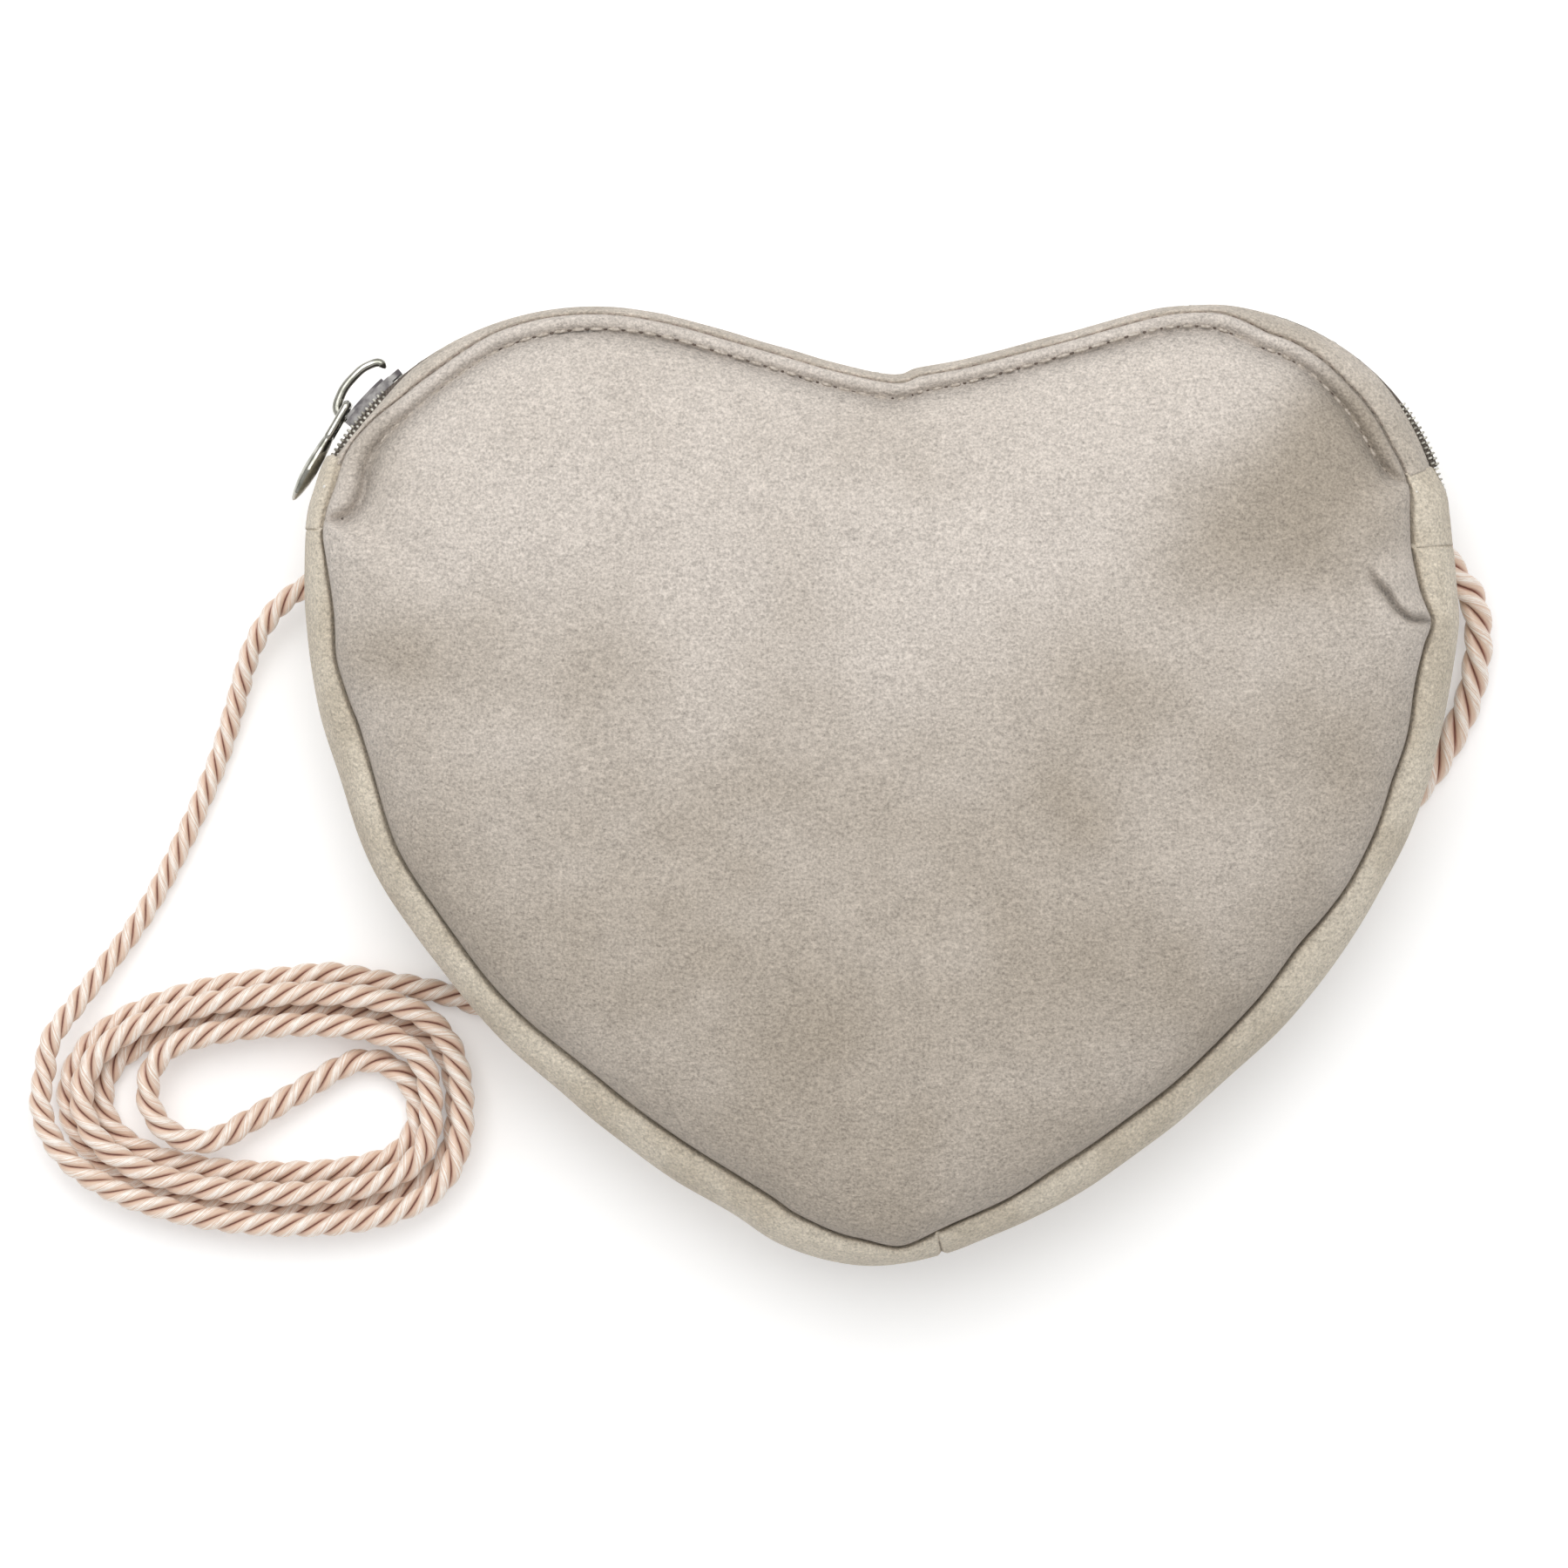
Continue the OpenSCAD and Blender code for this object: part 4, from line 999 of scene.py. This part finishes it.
def beads(name, starts, stops, r, slot):
    """Round beads from start points to stop points, as one piece."""
    ls = np.linalg.norm(stops - starts, axis=1)
    along = unit(stops - starts)
    side = unit(np.cross(along, [0, 0, 1]))
    up = np.cross(side, along)
    shares = np.array([0, 0.06, 0.25, 0.5, 0.75, 0.94, 1])
    swell = np.array([0.15, 0.6, 0.95, 1, 0.95, 0.6, 0.15]) * r
    a = np.linspace(0, 2 * math.pi, bead_sides, endpoint=False)
    turn = np.cos(a)[:, None] * side[:, None, None] + np.sin(a)[:, None] * up[:, None, None]
    points = starts[:, None, None] + (shares * ls[:, None])[:, :, None, None] * along[:, None, None]
    points = points + swell[:, None, None] * turn
    faces = []
    for k in range(len(starts)):
        faces += bar_faces(len(shares), bead_sides, k * len(shares) * bead_sides)
    return mesh_piece(name, points.reshape(-1, 3), faces, slot=slot)


stitch_l, stitch_pitch, stitch_r = 2.7 * MM, 3.6 * MM, 0.34 * MM
stitch_up, row_gap, hole_half, hole_r = 0.25 * MM, 0.05 * MM, 0.07, 0.28 * MM


def groove_ends(us, half, up):
    """Both ends of each stitch or hole in the groove, from its half length in places u and its height."""
    return [surface_point(u, roll_width(u) + row_gap) + [0, 0, up] for u in (us - half, us + half)]


panel_us = even_us(zip_from + 1.4, whole_rim + 11.3, stitch_pitch)
beads("stitches_panel", *groove_ends(panel_us, stitch_l / 2 / place_l, stitch_up), stitch_r, "tape")
# Each needle hole is a small dark bead: painted shade in the hole.
hole_us = (panel_us[1:-2] + panel_us[:-3]) / 2
beads("needle_holes", *groove_ends(hole_us, hole_half, 0), hole_r, "tape")

# %% The stitches in the facings' seams
facing_stitch_us = even_us(zip_from + 0.4, zip_to - 0.4, 3.2 * MM)
sunken_angle, sunken_half, sunken_r, tack_r = 87.0, 0.14, 0.16 * MM, 0.3 * MM
for name, up in (("stitches_facing_front", 1), ("stitches_facing_back", -1)):
    ends = [strip_rows(facing_stitch_us + o * sunken_half, np.array([up * sunken_angle]), 0)[0]
            for o in (-1, 1)]
    beads(name, *ends, sunken_r, "tape")
tack_ends = [np.concatenate([strip_rows(np.array([u]), np.array([a]), 0.5 * MM)[0] for u, a in spots])
             for spots in (((13.15, 73.0), (65.05, 84.0)), ((13.25, 69.0), (65.05, 89.5)))]
beads("end_tacks", *tack_ends, tack_r, "tape")
print("stitches in the panel's row:", len(panel_us))

# %% [markdown]
# ## The teeth's clamps
# Past both ends of the facings the chain looks out. The back of every tooth is a round clamp on the tape's
# edge, and rows of them show there as small bright beads with dark gaps between.

# %% The clamps at both ends of the zip
clamp_r, clamp_pitch = 0.5 * MM, 1.08 * MM
for name, up in (("clamps_front", 1), ("clamps_back", -1)):
    starts, stops = [], []
    for start, stop, far, inset, shift in (
            (whole_rim + 9.6, zip_to, 4.9, -0.1, 0),
            (whole_rim + 9.6, zip_to, 5.3, 0.85, 0.5),
            (zip_from - 1.3, zip_from, 4.9, 0.3, 0),
            (zip_from, zip_from + 2.9, 4.9, -0.1, 0),
            (zip_from, zip_from + 2.9, 5.3, 0.75, 0.5)):
        us = even_us(start, stop, clamp_pitch) + shift * clamp_pitch / place_l
        spots = [place(us + o * 0.05, inset * MM, chain_z + up * far * MM) for o in (-1, 1)]
        starts.append(spots[0])
        stops.append(spots[1])
    beads(name, np.concatenate(starts), np.concatenate(stops), clamp_r, "nickel")
print("clamps in each piece:", sum(len(run) for run in starts))

# %% [markdown]
# ## Finishes
# A finish is a formula for colour and bumps, and in Blender a formula is a web of nodes. One small class
# lets the web be written as plain sums: it stands for a socket, and each operator adds the node that does it.

# %% Node sums
def from_screen(*rgb):
    """A colour as a screen shows it, from 0 to 255, as the linear numbers that a shader wants."""
    shares = np.array(rgb) / 255
    return tuple(np.where(shares <= 0.04045, shares / 12.92, ((shares + 0.055) / 1.055) ** 2.4).tolist())


class Term:
    """A socket that takes part in sums. Values use Math nodes, vectors Vector Math and colours Mix."""

    def __init__(self, tree, socket=None):
        self.tree = tree
        self.socket = socket

    def feed(self, target, value):
        """Sets a socket to a number, a colour or a vector, or links it to a term."""
        if isinstance(value, Term):
            self.tree.links.new(value.socket, target)
        elif target.type == "RGBA":
            rgb = value if isinstance(value, tuple) else (value,) * 3
            target.default_value = (*rgb[:3], 1)
        elif target.type == "VECTOR" and not isinstance(value, tuple):
            target.default_value = (value,) * 3
        else:
            target.default_value = value

    def make(self, kind, settings, inputs, out=0):
        """Adds a node, gives it its settings and then its sockets, and returns one of its outputs."""
        node = self.tree.nodes.new("ShaderNode" + kind)
        for name, setting in settings.items():
            setattr(node, name, setting)
        for name, value in inputs.items():
            self.feed(node.inputs[name], value)
        return Term(self.tree, node.outputs[out])

    def sum_node(self, a, b, operation):
        kinds = [t.socket.type for t in (a, b) if isinstance(t, Term)]
        if "RGBA" in kinds:
            settings = {"data_type": "RGBA", "blend_type": operation}
            return self.make("Mix", settings, {0: 1, 6: a, 7: b}, out=2)
        if "VECTOR" in kinds:
            return self.make("VectorMath", {"operation": operation}, {0: a, 1: b})
        return self.make("Math", {"operation": operation}, {0: a, 1: b})

    def __add__(self, other):
        return self.sum_node(self, other, "ADD")

    def __radd__(self, other):
        return self.sum_node(other, self, "ADD")

    def __sub__(self, other):
        return self.sum_node(self, other, "SUBTRACT")

    def __rsub__(self, other):
        return self.sum_node(other, self, "SUBTRACT")

    def __mul__(self, other):
        return self.sum_node(self, other, "MULTIPLY")

    def __rmul__(self, other):
        return self.sum_node(other, self, "MULTIPLY")


print("a mid grey on the screen is", round(from_screen(128)[0], 3), "in linear light")


# %% Terms that several finishes share
def finish(name):
    """A new material, a first term to build its nodes from, and the sockets of its surface shader."""
    material = bpy.data.materials.new(name)
    material.use_nodes = True
    shader = material.node_tree.nodes["Principled BSDF"]
    return material, Term(material.node_tree), shader.inputs


def noise(term, size, detail=3.0, rough=0.5, squash=(1, 1, 1)):
    """Noise from 0 to 1 whose blobs are about one size across, in metres."""
    scaled = term.make("TexCoord", {}, {}, out="Object") * tuple(k / size for k in squash)
    return term.make("TexNoise", {}, {"Vector": scaled, "Scale": 1.0, "Detail": detail, "Roughness": rough})


def between(term, value, low, high):
    """A smooth step of a value from low to high."""
    return term.make("MapRange", {"interpolation_type": "SMOOTHSTEP"},
                     {"Value": value, "From Min": low, "From Max": high})


def blend(term, share, a, b):
    return term.make("Mix", {"data_type": "RGBA"}, {0: share, 6: a, 7: b}, out=2)


def bump(term, height, deep):
    return term.make("Bump", {}, {"Height": height, "Distance": deep, "Strength": 1.0})


def paint(piece, material):
    """Gives a piece its only material."""
    mesh = piece.data
    mesh.materials.clear()
    mesh.materials.append(material)


def dress(names, material):
    for name in names:
        paint(bpy.data.objects[name], material)
    print(material.name, "is on", len(names), "pieces")


# %% [markdown]
# Suede is brushed, so its nap is lighter in some soft patches and darker in others. The panel's colour also
# holds painted shade: it is darker towards the bottom, as if lit from above, and its large soft patches mix
# the nap's tone with painted light and shade. These are stored on the panel's points, because they belong to
# places on it. A second store holds painted shade along the fold's crease and in the groove under the roll.
# The fine mottling and the fibres are noise, and so is the relief.

# %% The suede's tone and its painted shade
def nap_and_shade_share(flat):
    """From 0, light, to 1, dark, at level places on the front panel: the nap's tone with painted shade that
    darkens towards the bottom.
    """
    x, y = flat[..., 0] / MM, flat[..., 1] / MM
    # Painted shade: darker towards the bottom, as if lit from above.
    share = 0.42 - 0.3 * np.tanh((y - 8) / 34)
    for at_x, at_y, wide, high, much in nap_and_shade_patches:
        share = share + much * np.exp(-((x - at_x) / wide) ** 2 - ((y - at_y) / high) ** 2)
    share += 0.10 * soft_noise(flat[..., 0], flat[..., 1], 17 * MM, 51)
    share += 0.07 * soft_noise(flat[..., 0], flat[..., 1], 8 * MM, 52)
    return share


# Soft patches in mm: middle x and y, width, height and how much darker. They are the nap's tone and painted
# light and shade together; a negative amount lightens.
nap_and_shade_patches = [
    (78, 52, 24, 17, 0.75), (92, 70, 14, 12, 0.5), (56, 40, 16, 9, 0.3), (37, -5, 9, 11, 0.2),
    (-8, -42, 7, 9, 0.18), (-51, 22, 13, 9, 0.16), (30, 44, 22, 9, -0.25), (2, 62, 14, 10, 0.2),
    (86, 10, 28, 12, 0.25), (-90, 27, 22, 12, 0.45), (-62, 58, 22, 14, -0.1), (-96, 66, 9, 14, 0.4),
    (42, 20, 14, 11, 0.3), (54, 67, 15, 10, -0.25), (48, -54, 9, 9, -0.2), (-14, 32, 11, 12, 0.1),
]
front_nap_and_shade = nap_and_shade_share(front_grid[:, :, :2])
mark(front, "nap_and_shade", np.append(front_nap_and_shade.reshape(-1), 0.5))
# Painted shade: darker along the fold's crease and in the groove under the roll, where shade falls.
fold_gap, fold_share = beside(front_grid[:, :, :2], fold_right)
crease_shade = fold_strength(fold_share) * hill(fold_gap + 0.3 * MM, 0.6 * MM)
roll = roll_width(grid_u, front_depth)
under_roll_shade = np.clip(roll / (3 * MM), 0, 1) * hill(front_depth - roll - 0.8 * MM, 2 * MM)
crease_shade[1:] = np.maximum(crease_shade[1:], 0.5 * under_roll_shade)
mark(front, "crease_shade", np.append(crease_shade.reshape(-1), 0))
print("stroked shares run from", round(front_nap_and_shade.min(), 2), "to", round(front_nap_and_shade.max(), 2))


# %% The suedes
def suede(name, light, dark, nap_and_shade):
    material, term, sockets = finish(name)
    # The panel's colour follows its stored share of the nap's tone and painted shade.
    if nap_and_shade:
        share = term.make("Attribute", {"attribute_name": "nap_and_shade"}, {}, out="Fac")
        # Painted shade in the crease and the groove darkens the panel's colour by up to 30 percent.
        crease_shade_factor = 1.0 - term.make("Attribute", {"attribute_name": "crease_shade"}, {}, out="Fac") * 0.3
    else:
        share = between(term, noise(term, 16 * MM), 0.3, 0.7)
        crease_shade_factor = 1.0
    fibres = noise(term, 0.54 * MM, detail=3.0, rough=0.7)
    tufts = noise(term, 1.15 * MM, detail=3.0, rough=0.6, squash=(0.7, 1.4, 1))
    brushed = noise(term, 4.5 * MM, detail=2.0)
    mottle = (fibres - 0.5) * 1.6 + (tufts - 0.5) * 0.55 + (brushed - 0.5) * 0.16
    colour = blend(term, between(term, share, 0.0, 1.0), from_screen(*light), from_screen(*dark))
    sockets["Roughness"].default_value = 0.95
    sockets["Specular IOR Level"].default_value = 0.15
    sockets["Sheen Weight"].default_value = 0.12
    sockets["Sheen Roughness"].default_value = 0.5
    term.feed(sockets["Base Color"], colour * (mottle + crease_shade_factor))
    term.feed(sockets["Normal"], bump(term, fibres * 0.6 + tufts, 0.35 * MM))
    return material


panel_suede = suede("brushed_suede", (209, 200, 191), (168, 157, 143), True)
# The band's suede is a lighter copy of the same suede, lightened against the shade that falls on the bag's
# sides: painted light. The tabs, the back facing and the collars share it.
band_suede = suede("band_suede", (215, 205, 188), (201, 190, 172), False)
dress(["front_suede"], panel_suede)
dress(["back_suede", "facing_front"], suede("plain_suede", (204, 194, 182), (190, 180, 167), False))
dress(["band_left", "band_right", "tab_left", "tab_right", "facing_back", "collar_left", "collar_right"],
      band_suede)

# %% [markdown]
# The lining is a plain weave and the zip tape a ribbed one. Two waves at right angles make a weave without
# any picture. Both stay almost hidden, so they are kept simple.

# %% Lining, tape and thread
def woven(name, colour, thread_w):
    material, term, sockets = finish(name)
    place_on = term.make("TexCoord", {}, {}, out="Object")
    warp = term.make("TexWave", {"bands_direction": "X"}, {"Vector": place_on * (1 / thread_w), "Scale": 0.3})
    weft = term.make("TexWave", {"bands_direction": "Y"}, {"Vector": place_on * (1 / thread_w), "Scale": 0.3})
    weave = warp * 0.5 + weft * 0.5
    shade = weave * 0.3 + noise(term, 3 * MM) * 0.2 + 0.75
    term.feed(sockets["Base Color"], blend(term, 0.0, from_screen(*colour), (0, 0, 0)) * shade)
    term.feed(sockets["Normal"], bump(term, weave, 0.2 * MM))
    sockets["Roughness"].default_value = 0.85
    return material


dress(["lining_front", "lining_back", "lining_band"], woven("lining_weave", (150, 136, 122), 0.6 * MM))
tape_rib = woven("tape_rib", (112, 102, 94), 0.5 * MM)
dress(["tape_front", "tape_back", "binding_front", "binding_back"], tape_rib)


# %% The sewing threads
def sewing(name, light, dark):
    material, term, sockets = finish(name)
    share = between(term, noise(term, 0.5 * MM), 0.3, 0.7)
    term.feed(sockets["Base Color"], blend(term, share, from_screen(*light), from_screen(*dark)))
    sockets["Roughness"].default_value = 0.6
    return material


dress(["stitches_panel"], sewing("sewing_thread", (206, 197, 186), (168, 157, 144)))
# A darker copy of the sewing thread for the stitches sunk in the facings' seams: painted shade.
shaded_seam_thread = sewing("shaded_seam_thread", (176, 162, 150), (128, 112, 102))
dress(["stitches_facing_front", "stitches_facing_back"], shaded_seam_thread)
dress(["end_tacks"], sewing("white_thread", (240, 238, 234), (222, 218, 212)))
dress(["needle_holes"], sewing("hole_shade", (112, 98, 88), (84, 72, 64)))

# %% [markdown]
# A satin cord is laid from fine glossy threads. Each strand stores its place round and along itself, so the
# threads run along the strand and twist slowly with it. The grooves between strands are painted a darker rose
# as shade, and near white lines along the threads on each strand's outer ridge are painted highlights.

# %% The satin cord
satin, term, sockets = finish("cord_satin")
thread_place = term.make("Attribute", {"attribute_name": "thread"}, {}, out="Vector")
threads = term.make("TexNoise", {}, {"Vector": thread_place * (1, 1, 0), "Scale": 4.4, "Detail": 2.0})
outer = term.make("SeparateXYZ", {}, {0: thread_place}, out="Z")
# Painted shade: the sides of each strand that turn in towards its neighbours are a darker rose.
groove = 1 - between(term, outer, -0.4, 0.3)
ridge = between(term, outer, 0.45, 0.9)
tone = blend(term, groove, from_screen(231, 202, 180), from_screen(160, 108, 92))
# Painted highlight: near white lines along the threads where a strand faces furthest out.
tone = blend(term, ridge * between(term, threads, 0.42, 0.56), tone, from_screen(255, 247, 238))
tone = blend(term, between(term, threads, 0.6, 0.72) * 0.5, tone, from_screen(206, 168, 138))
term.feed(sockets["Base Color"], tone)
term.feed(sockets["Normal"], bump(term, threads, 0.15 * MM))
sockets["Roughness"].default_value = 0.3
sockets["Specular IOR Level"].default_value = 0.8
sockets["Sheen Weight"].default_value = 0.1
dress(["twisted_strap"], satin)

# %% [markdown]
# The zip's metal is nickel plate: bright on the slider and its pull, duller on the teeth. Polish shows by
# what it mirrors, so soft scratches and a little tarnish in the roughness keep it from looking like glass.
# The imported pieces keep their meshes, and a bevel rounds the edges that a real casting never has sharp.

# %% The nickel
def nickel(name, light, dark, rough_low, rough_high, grain, metal=1.0):
    material, term, sockets = finish(name)
    stain = between(term, noise(term, grain, detail=5.0), 0.35, 0.7)
    term.feed(sockets["Base Color"], blend(term, stain, from_screen(*light), from_screen(*dark)))
    term.feed(sockets["Roughness"], stain * (rough_high - rough_low) + rough_low)
    term.feed(sockets["Normal"], bump(term, noise(term, 0.7 * MM), 0.005 * MM))
    sockets["Metallic"].default_value = metal
    return material


polish = nickel("nickel_polish", (190, 188, 180), (140, 140, 130), 0.12, 0.28, 3 * MM)
dress(["slider_body"], nickel("nickel_slider", (128, 126, 124), (82, 78, 80), 0.3, 0.45, 2 * MM))
dress(["bail_hook", "pull_leaf", "pull_rail_upper", "pull_rail_lower", "pull_bar"], polish)
dark_nickel = nickel("nickel_teeth", (214, 212, 204), (110, 108, 102), 0.25, 0.45, 1.5 * MM)
dress(["zip_teeth_front", "zip_teeth_back", "zip_stops"], dark_nickel)
clamp_nickel = nickel("nickel_clamps", (226, 224, 214), (150, 146, 136), 0.4, 0.55, 1.5 * MM, 0.6)
dress(["clamps_front", "clamps_back"], clamp_nickel)
packed_metal = {"slider_body": 0.35, "zip_teeth_front": 0.3, "zip_teeth_back": 0.3, "zip_stops": 0.3}
for name, width in packed_metal.items():
    edge = bpy.data.objects[name].modifiers.new("soft edges", "BEVEL")
    edge.width = width * MM
    edge.segments = 3
    edge.limit_method = "ANGLE"
    edge.angle_limit = math.radians(35)
print("rounded metal pieces:", len(packed_metal))

# %% [markdown]
# ## Light, table and closing measurements
# The picture is soft and even: a pale surface under a large light from the far side, with white all round.
# The studio is darker straight overhead and near the floor, which is what gives the metal its dark streaks.
# The table glows a little to the camera and in mirrored rays, so it looks white and keeps a soft shadow.

# %% The light
lamp = bpy.data.lights.new("far_softbox", "AREA")
lamp.size = 1.2
lamp.energy = 13
softbox = bpy.data.objects.new("far_softbox", lamp)
softbox.location = (-0.12, 0.6, 1.35)
softbox.rotation_euler = (math.radians(-24), math.radians(-5), 0)
bpy.context.scene.collection.objects.link(softbox)
world = bpy.data.worlds.new("studio")
bpy.context.scene.world = world
world.use_nodes = True
sky = Term(world.node_tree)
up = sky.make("SeparateXYZ", {}, {0: sky.make("TexCoord", {}, {}, out="Generated")}, out="Z")
overhead = between(sky, up, 0.93, 0.985)
horizon = 1 - between(sky, up, 0.0, 0.35)
background = world.node_tree.nodes["Background"].inputs
sky.feed(background["Color"], 1.0)
sky.feed(background["Strength"], 0.66 - overhead * 0.4 - horizon * 0.35)
bpy.context.scene.view_settings.view_transform = "Standard"
print("the softbox is", round(np.linalg.norm(softbox.location), 2), "m away")

# %% The table
table_half, table_gap = 1.5, 0.3 * MM
corners = [(x * table_half, y * table_half, -table_gap) for x, y in ((-1, -1), (1, -1), (1, 1), (-1, 1))]
table_top = bare_piece("table_top", corners, [(0, 1, 2, 3)])
table_white, term, sockets = finish("table_white")
sockets["Base Color"].default_value = (0.97, 0.97, 0.97, 1)
sockets["Roughness"].default_value = 0.9
sockets["Specular IOR Level"].default_value = 0.1
seen = (term.make("LightPath", {}, {}, out="Is Camera Ray")
        + term.make("LightPath", {}, {}, out="Is Glossy Ray")
        + term.make("LightPath", {}, {}, out="Is Transmission Ray"))
term.feed(sockets["Emission Color"], blend(term, seen * 0.2, (0, 0, 0, 1), (1, 1, 1, 1)))
sockets["Emission Strength"].default_value = 1.0
paint(table_top, table_white)
print("the table lies", round(table_gap / MM, 1), "mm under the purse")
